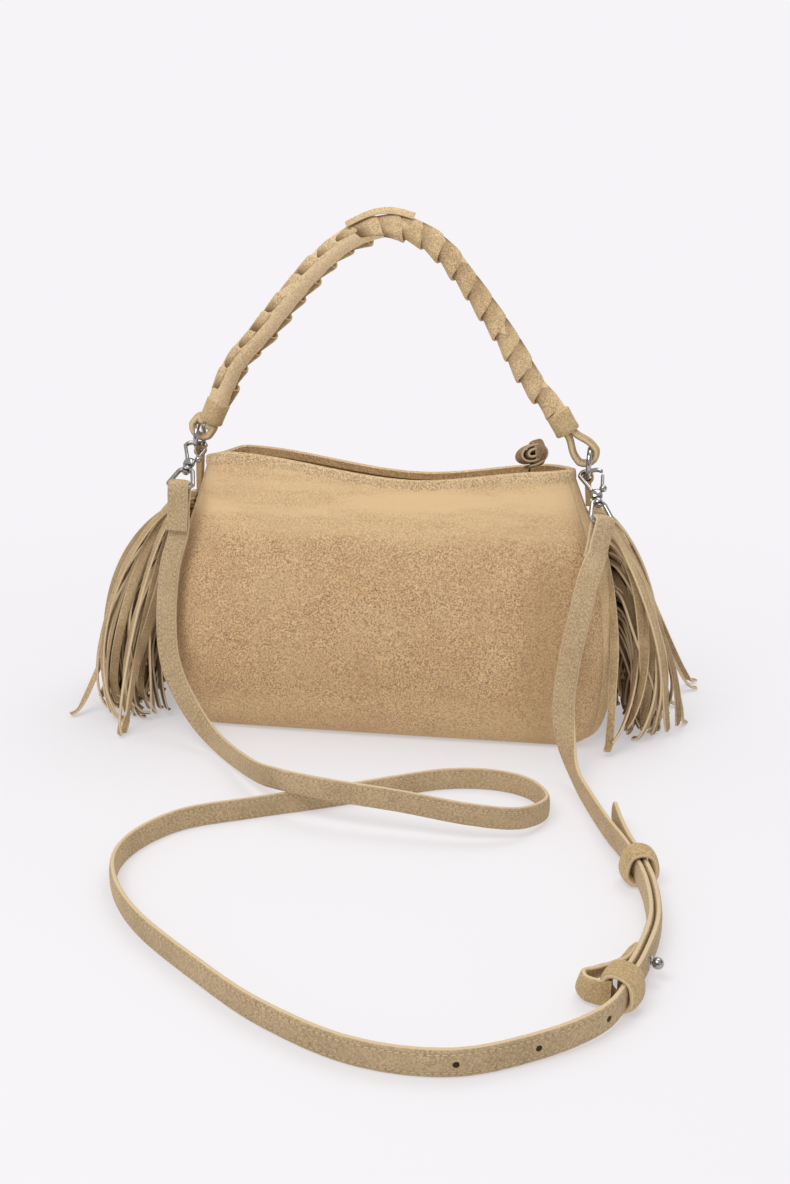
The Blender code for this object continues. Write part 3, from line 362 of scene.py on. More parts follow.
def add_flag(name, place, aim, size):
    """A black studio card that only shows in reflections."""
    card = flat_sheet(name, size[0] / 2, size[1] / 2)
    black = bpy.data.materials.new(name)
    black.use_nodes = True
    shader = black.node_tree.nodes["Principled BSDF"]
    shader.inputs["Base Color"].default_value = (0.01, 0.01, 0.01, 1)
    paint(card, black)
    aim_at(card, place, aim)
    card.visible_camera = card.visible_diffuse = card.visible_shadow = False
    card.visible_transmission = False


make_room()
add_lamp("key", (-0.35, -0.85, 1.35), (0.0, -0.05, 0.05), (0.9, 0.7), 9.5)
add_lamp("top", (0.30, 0.35, 1.30), (0.0, -0.10, 0.0), (0.8, 0.8), 5.0)
add_flag("flag_front", (0.15, -1.60, 0.30), (0.0, 0.0, 0.16), (1.10, 0.55))
add_flag("flag_left", (-1.20, -0.50, 0.45), (0.0, 0.0, 0.16), (0.50, 1.10))
add_flag("flag_right", (1.10, -0.20, 0.60), (0.0, 0.0, 0.16), (0.40, 0.90))
print("room, two lamps and three cards made")

# %% [markdown]
# ## Suede, thread and metal
# Suede is the split side of a hide: a dense nap without shine, lighter or darker as the
# fibres lie. A picture of hide could be wrapped round the pieces, but its seams would show;
# noise in the piece's own space has none. Two colours are mixed by a broad cloud, dark and
# light specks stand for the nap, and the same noise gives a faint relief. Cut edges are
# pale, and stitches are dots at a fixed pitch beside an edge, read from the band's own
# length and width fields.

# %% Suede
NAP_RELIEF = 0.00035
STITCH_ROW = 0.0042


def new_finish(name):
    """A new material with its node tree, its shader and the places on the piece."""
    made = bpy.data.materials.new(name)
    made.use_nodes = True
    tree = made.node_tree
    where = tree.nodes.new("ShaderNodeTexCoord").outputs["Object"]
    return made, tree, tree.nodes["Principled BSDF"], where


def axis_of(tree, where, axis):
    split = tree.nodes.new("ShaderNodeSeparateXYZ")
    feed(tree, split.inputs[0], where)
    return split.outputs[axis]


def field(tree, name):
    made = tree.nodes.new("ShaderNodeAttribute")
    made.attribute_name = name
    return made.outputs["Fac"]


def cloud(tree, where, scale, detail=3.0, roughness=0.6, stretch=(1, 1, 1)):
    if stretch != (1, 1, 1):
        scaled = node_in(tree, "ShaderNodeVectorMath", operation="MULTIPLY")
        feed(tree, scaled.inputs[0], where)
        scaled.inputs[1].default_value = stretch
        where = scaled.outputs[0]
    made = node_in(tree, "ShaderNodeTexNoise", Scale=scale, Detail=detail, Roughness=roughness)
    feed(tree, made.inputs["Vector"], where)
    return made.outputs["Fac"]


def stitch_mask(tree, rows, pitch, share, half_width):
    """1 on the thread: at each distance from the middle, for a share of every pitch."""
    reach = calc(tree, "ABSOLUTE", field(tree, "across"))
    mask = 0.0
    for row in rows:
        off = calc(tree, "ABSOLUTE", calc(tree, "SUBTRACT", reach, row))
        mask = calc(tree, "MAXIMUM", mask, calc(tree, "LESS_THAN", off, half_width))
    phase = calc(tree, "FRACT", calc(tree, "DIVIDE", field(tree, "along"), pitch))
    return calc(tree, "MULTIPLY", mask, calc(tree, "LESS_THAN", phase, share))


def suede(name, light, dark, broad=26.0, grain=0.5, edge=None, shade=None, stitches=None,
          holes=None, rubbed_and_lit_bands=None):
    """Matt napped leather with a cloudy colour, a fine grain and optional details, painted light and
    painted shade among them.
    """
    made, tree, shader, where = new_finish(name)
    clouds = ramp(tree, cloud(tree, where, broad, 4.0, 0.62), 0.32, 0.68)
    colour = blend_colour(tree, clouds, dark, light)
    fine = cloud(tree, where, 980.0, 3.0, 0.75)
    rough = cloud(tree, where, 45.0, 3.0)
    depth = calc(tree, "MULTIPLY", ramp(tree, rough, 0.25, 0.65, 0.55, 1.0), grain)
    speck = calc(tree, "MULTIPLY", ramp(tree, fine, 0.38, 0.51, 1.0, 0.0), depth)
    gleam = calc(tree, "MULTIPLY", ramp(tree, fine, 0.50, 0.63), depth)
    pit = tuple(c * share for c, share in zip(dark, (0.44, 0.38, 0.38)))
    tip = tuple(min(c * 1.42, 0.95) for c in light)
    colour = blend_colour(tree, speck, colour, pit)
    colour = blend_colour(tree, gleam, colour, tip)
    height = fine
    # Pale bands near the mouth and, weaker, near the base, broken by wispy noise: the upper one is partly
    # rubbed nap and partly painted light from above.
    if rubbed_and_lit_bands:
        wisps = cloud(tree, where, 9.0, 3.0, 0.55, (1.0, 1.0, 9.0))
        level = axis_of(tree, where, "Z")
        top, low = ramp(tree, level, 0.118, 0.142), ramp(tree, level, 0.040, 0.012)
        most = calc(tree, "MAXIMUM", top, calc(tree, "MULTIPLY", low, 0.35))
        share = calc(tree, "MULTIPLY_ADD", ramp(tree, wisps, 0.36, 0.60), 0.55, 0.40)
        colour = blend_colour(tree, calc(tree, "MULTIPLY", share, most), colour, rubbed_and_lit_bands)
    # Painted shade: the piece's shade field darkens the colour towards the shade colour.
    if shade:
        tint = calc(tree, "MULTIPLY", field(tree, "shade"), 1.0, clamp=True)
        colour = blend_colour(tree, tint, colour, shade)
    if edge:
        cut = calc(tree, "MULTIPLY", ramp(tree, field(tree, "edge"), 0.45, 0.9), 0.75)
        colour = blend_colour(tree, cut, colour, edge)
    if holes:
        first, pitch, last, radius = holes
        along, aside = field(tree, "along"), field(tree, "across")
        off = calc(tree, "WRAP", calc(tree, "SUBTRACT", along, first), pitch / 2, -pitch / 2)
        far = calc(tree, "SQRT", calc(tree, "ADD", calc(tree, "MULTIPLY", off, off),
                                      calc(tree, "MULTIPLY", aside, aside)))
        inside = calc(tree, "LESS_THAN", far, radius)
        for limit in (calc(tree, "GREATER_THAN", along, first - pitch / 2),
                      calc(tree, "LESS_THAN", along, last)):
            inside = calc(tree, "MULTIPLY", inside, limit)
        # Painted shade: the holes are not cut, so each is a near-black dot for the dark inside of a hole.
        colour = blend_colour(tree, inside, colour, (0.035, 0.022, 0.012))
    if stitches:
        rows, pitch, share, half_width, thread = stitches
        mask = stitch_mask(tree, rows, pitch, share, half_width)
        line = stitch_mask(tree, rows, pitch, 1.1, half_width * 1.7)
        # Painted shade: the groove beside each stitch is darkened.
        groove = calc(tree, "SUBTRACT", line, mask, clamp=True)
        colour = blend_colour(tree, calc(tree, "MULTIPLY", groove, 0.30), colour,
                              tuple(c * 0.45 for c in dark))
        colour = blend_colour(tree, calc(tree, "MULTIPLY", mask, 0.6), colour, thread)
        height = calc(tree, "SUBTRACT", height, calc(tree, "MULTIPLY", groove, 0.5))
    feed(tree, shader.inputs["Base Color"], colour)
    shader.inputs["Roughness"].default_value = 0.95
    shader.inputs["Specular IOR Level"].default_value = 0.12
    shader.inputs["Sheen Weight"].default_value = 0.22
    shader.inputs["Sheen Roughness"].default_value = 0.45
    shader.inputs["Sheen Tint"].default_value = (0.95, 0.84, 0.66, 1.0)
    bump = node_in(tree, "ShaderNodeBump", Strength=0.55, Distance=NAP_RELIEF)
    feed(tree, bump.inputs["Height"], height)
    feed(tree, shader.inputs["Normal"], bump.outputs[0])
    return made


print("suede recipe ready")

# %% [markdown]
# The hooks, rings and stud are plated and polished, so their colour is a plain grey and the
# room does the rest; a little noise in the gloss stands for wear. The zip's tapes and the
# lining are woven, which two crossed waves at thread pitch show well enough at this size.

# %% Metal and cloth
STEEL_GREY, POLISH = (0.45, 0.44, 0.43), 0.13


def steel(name, colour=STEEL_GREY, roughness=POLISH):
    """Polished plated metal with faint wear in its gloss."""
    made, tree, shader, where = new_finish(name)
    worn = ramp(tree, cloud(tree, where, 300.0, 3.0), 0.35, 0.7, roughness * 0.7, roughness * 1.5)
    tone = blend_colour(tree, cloud(tree, where, 120.0), colour, tuple(c * 0.86 for c in colour))
    feed(tree, shader.inputs["Base Color"], tone)
    feed(tree, shader.inputs["Roughness"], worn)
    shader.inputs["Metallic"].default_value = 1.0
    return made


def cloth(name, light, dark, pitch=0.0006):
    """Woven tape: two colours crossing at thread pitch."""
    made, tree, shader, where = new_finish(name)
    turn = 2 * math.pi / pitch
    waves = [calc(tree, "SINE", calc(tree, "MULTIPLY", axis_of(tree, where, axis), turn))
             for axis in ("X", "Y")]
    weave = calc(tree, "MULTIPLY_ADD", calc(tree, "MULTIPLY", *waves), 0.5, 0.5)
    feed(tree, shader.inputs["Base Color"], blend_colour(tree, weave, dark, light))
    shader.inputs["Roughness"].default_value = 0.9
    bump = node_in(tree, "ShaderNodeBump", Strength=0.4, Distance=0.0002)
    feed(tree, bump.inputs["Height"], weave)
    feed(tree, shader.inputs["Normal"], bump.outputs[0])
    return made


print("metal and cloth recipes ready")

# %% [markdown]
# Every leather part is cut from the same golden hide but looks different: the body is paler
# near the mouth, partly rubbed nap and partly painted light from above, with painted shade
# beside its right seam and near its base; the strap is greyer; the fringe has painted shade
# in its depths and at its roots and is pale at its cut edges; and the puller is a brown strip.

# %% The finishes of this bag
THREAD = (0.74, 0.58, 0.38)
CUT_EDGE = (0.72, 0.57, 0.37)
# The shade colours below are painted shade, laid on where a piece's shade field is high, and the body's
# pale band colour is partly painted light.
BODY_SUEDE = suede("body_suede", (0.600, 0.415, 0.232), (0.552, 0.358, 0.196), grain=0.85,
                   rubbed_and_lit_bands=(0.745, 0.54, 0.305), shade=(0.40, 0.26, 0.13))
GUSSET_SUEDE = suede("gusset_suede", (0.70, 0.51, 0.29), (0.60, 0.43, 0.235), grain=0.45,
                     shade=(0.36, 0.23, 0.12))
BINDING_SUEDE = suede("binding_suede", (0.68, 0.50, 0.295), (0.60, 0.43, 0.245), grain=0.75)
FACING_SUEDE = suede("facing_suede", (0.50, 0.355, 0.195), (0.38, 0.26, 0.135), grain=0.5)
CORE_SUEDE = suede("core_suede", (0.74, 0.56, 0.345), (0.64, 0.475, 0.28), grain=0.4)
HANDLE_SUEDE = suede("handle_suede", (0.66, 0.495, 0.29), (0.52, 0.37, 0.20), grain=0.6,
                     edge=CUT_EDGE, shade=(0.20, 0.12, 0.06))
COLLAR_SUEDE = suede("collar_suede", (0.58, 0.43, 0.24), (0.46, 0.33, 0.175), grain=0.5,
                     edge=CUT_EDGE)
STRAP_LOOK = {"light": (0.530, 0.395, 0.236), "dark": (0.430, 0.316, 0.183), "grain": 0.45,
              "edge": CUT_EDGE, "stitches": ((STITCH_ROW,), 0.0031, 0.62, 0.00028, THREAD)}
FIRST_HOLE, HOLE_PITCH, HOLES_END, HOLE_RADIUS = 0.991, 0.0345, 1.077, 0.0014
STRAP_SUEDE = suede("strap_suede", **STRAP_LOOK)
HOLED_SUEDE = suede("holed_strap_suede", **STRAP_LOOK,
                    holes=(FIRST_HOLE, HOLE_PITCH, HOLES_END, HOLE_RADIUS))
FRINGE_SUEDE = suede("fringe_suede", (0.64, 0.475, 0.275), (0.44, 0.305, 0.165), grain=0.45,
                     edge=(0.80, 0.64, 0.42), shade=(0.11, 0.062, 0.030))
KNOT_SUEDE = suede("knot_suede", (0.36, 0.245, 0.15), (0.22, 0.14, 0.08), broad=120.0,
                   edge=(0.60, 0.46, 0.30))
STEEL = steel("polished_steel")
ZIP_METAL = steel("zip_metal", (0.56, 0.55, 0.52), 0.25)
TAPE_CLOTH = cloth("zip_tape", (0.42, 0.31, 0.19), (0.30, 0.21, 0.12))
LINING_CLOTH = cloth("lining_cloth", (0.46, 0.36, 0.24), (0.36, 0.27, 0.17), 0.0009)
print("materials made")

# %% [markdown]
# ## Crossbody strap
# Two straps cut from one hide: a long one from the left hook, which crosses itself on the
# table and comes back as the outer layer of the doubled stretch, and a short one from the
# right hook that lies inside it. Both are 12.7 mm wide and about 3 mm thick, two layers
# glued and sewn near each edge. The rows give the middle line and the direction of the
# width, first the fold over the hook's eye and then the way across the table.

# %% Strap routes
LEFT_AXIS = (0.99863, -0.04438, -0.02773)
RIGHT_AXIS = (0.84383, 0.47063, -0.25780)
LEFT_FOLD = ((-0.12938, -0.04470, 0.12996), (-0.12888, -0.04220, 0.14373),
             (-0.12863, -0.04163, 0.15175), (-0.12847, -0.04096, 0.15671),
             (-0.12836, -0.03974, 0.15855), (-0.12825, -0.03759, 0.15904),
             (-0.12821, -0.03575, 0.15782), (-0.12824, -0.03526, 0.15566),
             (-0.12843, -0.03638, 0.15079), (-0.12874, -0.03866, 0.14308),
             (-0.12931, -0.04152, 0.12735))
LEFT_DROP = ((-0.1345, -0.0470, 0.1050, 0.0), (-0.1355, -0.0555, 0.0700, 0.0),
             (-0.1300, -0.0640, 0.0450, 0.15), (-0.1140, -0.0760, 0.0230, 0.5),
             (-0.0945, -0.0906, 0.0100, 0.85))
RAISED_RUN = ((-0.0622, -0.1307, 0.0135), (-0.0400, -0.1540, 0.0198), (-0.0091, -0.1653, 0.0212),
              (0.0300, -0.1694, 0.0195), (0.0670, -0.1708, 0.0155), (0.0939, -0.1632, 0.0115),
              (0.1070, -0.1400, 0.0080), (0.0964, -0.1172, 0.0068))
RETURN_RUN = ((0.0750, -0.1085, 0.0067), (0.0480, -0.1115, 0.0067), (0.0200, -0.1255, 0.0067),
              (-0.0140, -0.1450, 0.0067), (-0.0540, -0.1650, 0.0067), (-0.0880, -0.1850, 0.0067),
              (-0.1050, -0.2160, 0.0067), (-0.1020, -0.2480, 0.0067), (-0.0780, -0.2840, 0.0067),
              (-0.0350, -0.3210, 0.0067), (0.0000, -0.3460, 0.0067), (0.0410, -0.3640, 0.0067),
              (0.0810, -0.3650, 0.0067), (0.1150, -0.3490, 0.0070))
SHARED_RUN = ((0.1380, -0.3290, 0.0085), (0.1485, -0.3080, 0.0095), (0.1560, -0.2850, 0.0092),
              (0.1620, -0.2550, 0.0088), (0.1610, -0.2260, 0.0090), (0.1560, -0.2020, 0.0095),
              (0.1500, -0.1830, 0.0095))
TAIL_END = ((0.1475, -0.1620, 0.0080), (0.1440, -0.1390, 0.0067))
RIGHT_FOLD = ((0.12551, -0.03700, 0.12150), (0.12702, -0.03498, 0.13014),
              (0.12792, -0.03244, 0.13772), (0.12864, -0.03111, 0.14249),
              (0.12943, -0.03140, 0.14454), (0.13061, -0.03294, 0.14560),
              (0.13150, -0.03486, 0.14499), (0.13160, -0.03606, 0.14314),
              (0.13064, -0.03699, 0.13831), (0.12886, -0.03805, 0.13054),
              (0.12768, -0.03962, 0.12382))
RIGHT_DROP = ((0.1195, -0.0590, 0.0930, 0.0), (0.1150, -0.0660, 0.0690, 0.0),
              (0.1125, -0.0740, 0.0430, 0.2), (0.1150, -0.0830, 0.0230, 0.55))
SHORT_RUN = ((0.1220, -0.1020, 0.0090), (0.1310, -0.1300, 0.0067), (0.1400, -0.1600, 0.0080))
STRAP_WIDTH, STRAP_THICK, LAYER = 0.0127, 0.0035, 0.0018


def beside(run, offset):
    """A level line beside a run, so far to its right."""
    run = np.array(run)
    heading = unit(np.gradient(run, axis=0))
    return run + unit(np.cross(heading, UP)) * offset


def with_axis(rows, axis):
    rows = np.asarray(rows, float)[:, :3]
    return np.hstack([rows, np.broadcast_to(axis, rows.shape)])


def drop(rows):
    rows = np.array(rows)
    share = rows[:, 3:]
    return np.hstack([rows[:, :3], np.array([1.0, 0, 0]) * (1 - share) + UP * share])


LONG_ROWS = np.vstack([with_axis(LEFT_FOLD, LEFT_AXIS), drop(LEFT_DROP), with_axis(RAISED_RUN, UP),
                       with_axis(RETURN_RUN, UP), with_axis(beside(SHARED_RUN, LAYER), UP),
                       with_axis(TAIL_END, UP)])
MIDDLE_AXIS = np.array(RIGHT_AXIS) * 0.4 + np.array([0.6, 0.0, 0.0])
SHORT_ROWS = np.vstack([with_axis(RIGHT_FOLD, RIGHT_AXIS),
                        with_axis([(0.1235, -0.0500, 0.1130)], MIDDLE_AXIS), drop(RIGHT_DROP),
                        with_axis(SHORT_RUN, UP),
                        with_axis(beside(SHARED_RUN, -LAYER)[::-1][:-1], UP)])
print("strap rows:", len(LONG_ROWS), "and", len(SHORT_ROWS))

# %% [markdown]
# The section is a rounded band with a shallow groove under each row of stitches, and its
# cut edges are slightly ragged. One section carried along one line keeps the width true
# everywhere, also where the band stands on its edge in the bends.

# %% Straps
GROOVE_WIDTH, GROOVE_DEPTH = 0.0005, 0.00022


def strap(name, rows, count, material):
    """place(i, j) = middle line(i) + width direction * a(j) + face direction * b(j)."""
    line = through(rows, count)
    path, axis = line[:, :3], line[:, 3:]
    section = oval(STRAP_WIDTH * 1.02, STRAP_THICK, 40, 3.0)
    gone = arc_length(path)
    ragged = 1.0 + 0.008 * np.sin(gone * 900.0) * np.sin(gone * 337.0 + 1.0)
    dip = np.exp(-((np.abs(section[:, 0]) - STITCH_ROW) / GROOVE_WIDTH) ** 2) * GROOVE_DEPTH
    a = section[None, :, 0] * ragged[:, None]
    b = np.sign(section[:, 1]) * np.maximum(np.abs(section[:, 1]) - dip, 0.0)
    wide = np.stack([a, np.broadcast_to(b, a.shape)], -1)
    points = sweep(path, axis, wide)
    edge = cut_edge(section, STRAP_WIDTH * 0.47, 0.0003)
    band = shell(points, along=gone[:, None], across=section[:, 0], edge=edge)
    made = build(name + "_band", [band], "bag", [name])
    paint(made, material)
    return made, path, gone[-1]


long_strap, long_path, long_length = strap("strap_long", LONG_ROWS, 900, HOLED_SUEDE)
short_strap, short_path, short_length = strap("strap_short", SHORT_ROWS, 300, STRAP_SUEDE)
print("straps", round(long_length, 3), "m and", round(short_length, 3), "m long")

# %% [markdown]
# ## Body
# One U-shaped panel makes the front, the base and the back, and an upright gusset closes
# each end. The hide is soft, so the faces swell, the mouth sags at mid length and the top
# leans a little to the left. The grid below runs down the front, under the base and up the
# back; a height profile gives half length and half depth, and the rim formula stretches
# the upper part to the sagging mouth.

# %% Shape of the skin
TOP = 0.165
CORNER = 0.022
PROFILE = through(((0.000, 0.124, 0.038), (0.003, 0.1295, 0.0435), (0.012, 0.134, 0.0475),
                   (0.035, 0.1375, 0.0505), (0.065, 0.1385, 0.0495), (0.095, 0.1355, 0.0440),
                   (0.120, 0.1300, 0.0375), (0.142, 0.1225, 0.0305), (0.165, 0.1150, 0.0240)), 300)
PROFILE[:, 0] = np.maximum.accumulate(PROFILE[:, 0])


def profile(height, inset=0.0):
    return [np.interp(height, PROFILE[:, 0], PROFILE[:, k]) - inset for k in (1, 2)]


def rim_height(x, y):
    """The mouth sags at mid length, and its back edge lies a little lower."""
    left = 0.014 * smooth_step((0.016 - x) / 0.120) - 0.004 * smooth_step((-0.102 - x) / 0.018)
    right = 0.008 * smooth_step((x - 0.016) / 0.085)
    return 0.160 + left + right - 0.0045 * smooth_step((y + 0.024) / 0.048)


def settle(x, y, height):
    """Leans the plan shape to the left and stretches it up to the rim."""
    share = height / TOP
    x = x - 0.004 * share ** 2
    return np.stack([x, y, height + (rim_height(x, y) - TOP) * share ** 3], -1)


def swell(height):
    return 0.005 * np.maximum(np.sin(np.pi * np.minimum(height / TOP, 1.0)), 0.0) ** 0.7


def corner_radius(depth):
    return np.minimum(CORNER, depth * 0.92)


def half_depth(x, height):
    """Half depth of the bag over a place x: a straight with a swell, then a round corner."""
    length, depth = profile(height)
    radius = corner_radius(depth)
    straight = length - radius
    over = np.maximum(np.abs(x) - straight, 0.0)
    corner = depth - radius + np.sqrt(np.maximum(radius ** 2 - over ** 2, 0.0))
    flat = depth + swell(height) * (1.0 - np.minimum(np.abs(x) / straight, 1.0) ** 2)
    return np.where(over > 0, corner, flat)


def seam_reach(height):
    """How far from the middle the end seam stands: it follows the round corner."""
    length, depth = profile(height)
    return length - corner_radius(depth) * 0.17


def folds(x, z, rows):
    """Sum of long soft dents: place, slope, length, width and depth of each."""
    x0, z0, angle, length, width, depth = (c[:, None, None] for c in np.array(rows).T)
    c, s = np.cos(np.radians(angle)), np.sin(np.radians(angle))
    along = (x - x0) * c + (z - z0) * s
    aside = (z - z0) * c - (x - x0) * s
    return np.sum(depth * np.exp(-(along / length) ** 2 - (aside / width) ** 2), 0)


FRONT_FOLDS = ((-0.082, 0.128, -38, 0.035, 0.008, 0.0016),
               (-0.050, 0.122, -20, 0.040, 0.009, 0.0010),
               (0.075, 0.120, 42, 0.030, 0.008, 0.0016), (0.040, 0.118, 12, 0.040, 0.010, 0.0009),
               (-0.092, 0.060, 78, 0.045, 0.007, 0.0011), (0.095, 0.055, 82, 0.045, 0.008, 0.0015),
               (-0.030, 0.032, 6, 0.060, 0.009, 0.0008), (0.055, 0.030, -8, 0.045, 0.008, 0.0009),
               (0.010, 0.080, 3, 0.070, 0.016, 0.0008), (-0.105, 0.022, 30, 0.020, 0.006, 0.0012))
BACK_FOLDS = tuple((x * -0.9, z * 1.04, a * 0.8, l, w, d) for x, z, a, l, w, d in FRONT_FOLDS)
print("skin profile with", len(PROFILE), "rows,", len(FRONT_FOLDS), "soft folds a face")

# %% [markdown]
# The front, base and back are one hide, so they are one grid too and the base edges stay
# smooth bends. Beside each seam the hide dips in, as the two edges are sewn together inside
# out and turned.

# %% Main panel grid
SEAM_DIP, SEAM_WIDTH = 0.0012, 0.0020


def panel_grid():
    """place(s, t): s from seam to seam, t down the front, under the base, up the back."""
    down = TOP * (1.0 - np.linspace(0, 1, 90))
    height = np.concatenate([down, np.zeros(11), down[::-1]])
    face = np.concatenate([-np.ones(90), np.linspace(-1, 1, 13)[1:-1], np.ones(90)])
    s = np.linspace(-1, 1, 221)
    s = np.sin(s * np.pi / 2) * 0.35 + s * 0.65
    s, height = np.meshgrid(s, height, indexing="ij")
    face = np.broadcast_to(face, s.shape)
    reach = seam_reach(height)
    x = s * reach
    y = face * half_depth(x, height)
    to_seam = (1.0 - np.abs(s)) * reach
    dip = SEAM_DIP * np.exp(-(to_seam / SEAM_WIDTH) ** 2)
    fade = smooth_step(to_seam / 0.02) * smooth_step((TOP - height) / 0.03)
    fade = fade * smooth_step(height / 0.012)
    soft = np.where(face < 0, folds(x, height, FRONT_FOLDS), folds(x, height, BACK_FOLDS))
    dip = dip + fade * soft
    y = y - np.sign(face) * dip * np.minimum(np.abs(face) ** 6, 1.0)
    # Painted shade on the front only: an upright dark band a little in from the right seam, fading out
    # towards the top, and a darker base.
    shade = np.exp(-((x - 0.100) / 0.014) ** 2) * 0.42 * smooth_step((0.150 - height) / 0.05)
    shade = shade + smooth_step((0.020 - height) / 0.02) * 0.20
    return shell(settle(x, y, height), wrap_v=False, caps=False, shade=np.where(face < 0, shade, 0))


print("main panel grid ready")

# %% [markdown]
# A gusset is the upright end of the bag. It reads the same height profile as the panel, so
# the two meet in one line without being joined by hand. Its lowest rows close in under the
# end.

# %% Gusset grid


def gusset_grid(side):
    """place(q, t): q round the end from the front seam to the back one, t downwards."""
    height = np.concatenate([TOP * (1.0 - np.linspace(0, 1, 90)), np.zeros(8)])
    pull = np.concatenate([np.ones(90), np.linspace(1, 0, 9)[1:]])
    q, height = np.meshgrid(np.linspace(0, 1, 90), height, indexing="ij")
    length, depth = profile(height)
    radius = corner_radius(depth)
    over = seam_reach(height) + 0.0003 - (length - radius)
    start = np.where(over < 0, over, radius * np.arcsin(np.clip(over / radius, 0, 0.999)))
    quarter, side_run = radius * np.pi / 2, 2 * (depth - radius)
    whole = 2 * quarter + side_run
    gone = start + q * (whole - 2 * start)
    first = np.clip(gone, 0, quarter) / radius
    flat = np.clip(gone - quarter, 0, side_run)
    last = np.clip(gone - quarter - side_run, 0, quarter) / radius
    out = np.minimum(gone, 0) + np.minimum(whole - gone, 0)
    x = length - radius + out + radius * (np.sin(first) - (1 - np.cos(last)))
    y = -depth + radius * (1 - np.cos(first)) + flat + radius * np.sin(last)
    from_seam = np.minimum(gone - start, whole - start - gone)
    pinch = np.exp(-(from_seam / SEAM_WIDTH) ** 2)
    x = x - SEAM_DIP * pinch
    y = y * (1 - 0.025 * pinch)
    if side > 0:
        puff = np.sin(np.pi * np.clip(height / 0.14, 0, 1)) ** 0.6
        x = x + 0.0042 * smooth_step(from_seam / 0.012) * puff
    seam = seam_reach(height) + 0.0003
    x = seam + (x - seam) * pull
    points = settle(side * x, y, height)
    points[..., 2] += 0.0023 * smooth_step((1.0 - pull) * 8.0)
    return shell(points, wrap_v=False, caps=False)


print("gusset grid ready")

# %% [markdown]
# The grids are sheets. A wall modifier gives them the hide's thickness inwards, so the
# outside keeps the shape that was worked out. The lining is the CAD piece in woven cloth.

# %% Panel, gussets and lining
HIDE = 0.0020


def thicken(obj, thickness, offset=-1.0):
    wall = obj.modifiers.new("wall", "SOLIDIFY")
    wall.thickness = thickness
    wall.offset = offset
    wall.use_even_offset = True


panel = build("main_panel_skin", [panel_grid()], "bag", ["main_panel"])
paint(panel, BODY_SUEDE)
thicken(panel, HIDE)
for SIDE, SIGN in (("left", -1), ("right", 1)):
    gusset = build(f"{SIDE}_gusset_skin", [gusset_grid(SIGN)], "bag", [f"{SIDE}_gusset"])
    paint(gusset, GUSSET_SUEDE)
    thicken(gusset, HIDE)
paint(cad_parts["lining"], LINING_CLOTH)
print("panel and gussets made")

# %% [markdown]
# ## Rim, facing and zip
# A strip of suede is folded over the raw edge of the mouth; its outer leg grows out of the
# panel. Inside it the facing drops a few millimetres, turns level and carries the zip, so
# the zip lies in a shallow recess. A bevel on the panel's edge could not make the fold, so
# both pieces are sections carried round the mouth's own outline.

# %% Rim binding and facing
FACING_WALL = 0.0011


def plan(height, inset, front=120, corner=16):
    """Closed outline of the bag at one height, moved inwards."""
    length, depth = profile(height, inset)
    radius = corner_radius(depth)
    s = np.linspace(-1, 1, front)
    bulge = swell(height) * (1 - s * s)
    a = np.radians(np.linspace(0, 90, corner + 1))
    straight, level = length - radius, depth - radius
    first = np.stack([s * straight, -(depth + bulge)], -1)
    turn_1 = np.stack([straight + radius * np.sin(a[1:]), -level - radius * np.cos(a[1:])], -1)
    turn_2 = np.stack([straight + radius * np.cos(a[:-1]), level + radius * np.sin(a[:-1])], -1)
    half = np.vstack([first, turn_1, turn_2])
    x, y = np.vstack([half, -half]).T
    return settle(x, y, np.full(len(x), height))


def rim_place(height, inset, lift=None):
    """Places at a height near the rim, on the straight from the last profile row up to it."""
    low, high = plan(0.142, inset), plan(TOP, inset)
    points = low + (high - low) * (height - 0.142) / (TOP - 0.142)
    if lift is not None:
        points[:, 2] = plan(TOP, 0.0)[:, 2] + lift
    return points


def make_rim():
    """Section of the folded strip, carried round the mouth."""
    outer, inner, thick = -0.0003, 0.0028, 0.0009
    low, inner_low = TOP - 0.0065, TOP - 0.0035
    rows = [rim_place(low, outer + 0.0016), rim_place(TOP, outer, 0.0006),
            rim_place(TOP, inner, 0.0006), rim_place(inner_low, inner),
            rim_place(inner_low, inner + thick), rim_place(TOP, inner + thick, 0.0013),
            rim_place(TOP, inner - 0.0004, 0.0018), rim_place(TOP, outer + 0.0002, 0.0018),
            rim_place(TOP, outer - thick, 0.0012), rim_place(TOP - 0.0026, outer - thick * 0.6),
            rim_place(low, outer + 0.0012)]
    gone = arc_length(plan(TOP, 0.0))
    wave = 0.00025 * np.sin(gone * 420.0) * np.sin(gone * 151.0 + 0.6)
    points = np.stack(rows, 1)
    points[:, 8:] += (unit(points[:, 10] - points[:, 0]) * wave[:, None])[:, None]
    made = build("rim_binding_strip", [shell(points, wrap_u=True)],
                 "bag", ["rim_binding"], sharp=35)
    paint(made, BINDING_SUEDE)


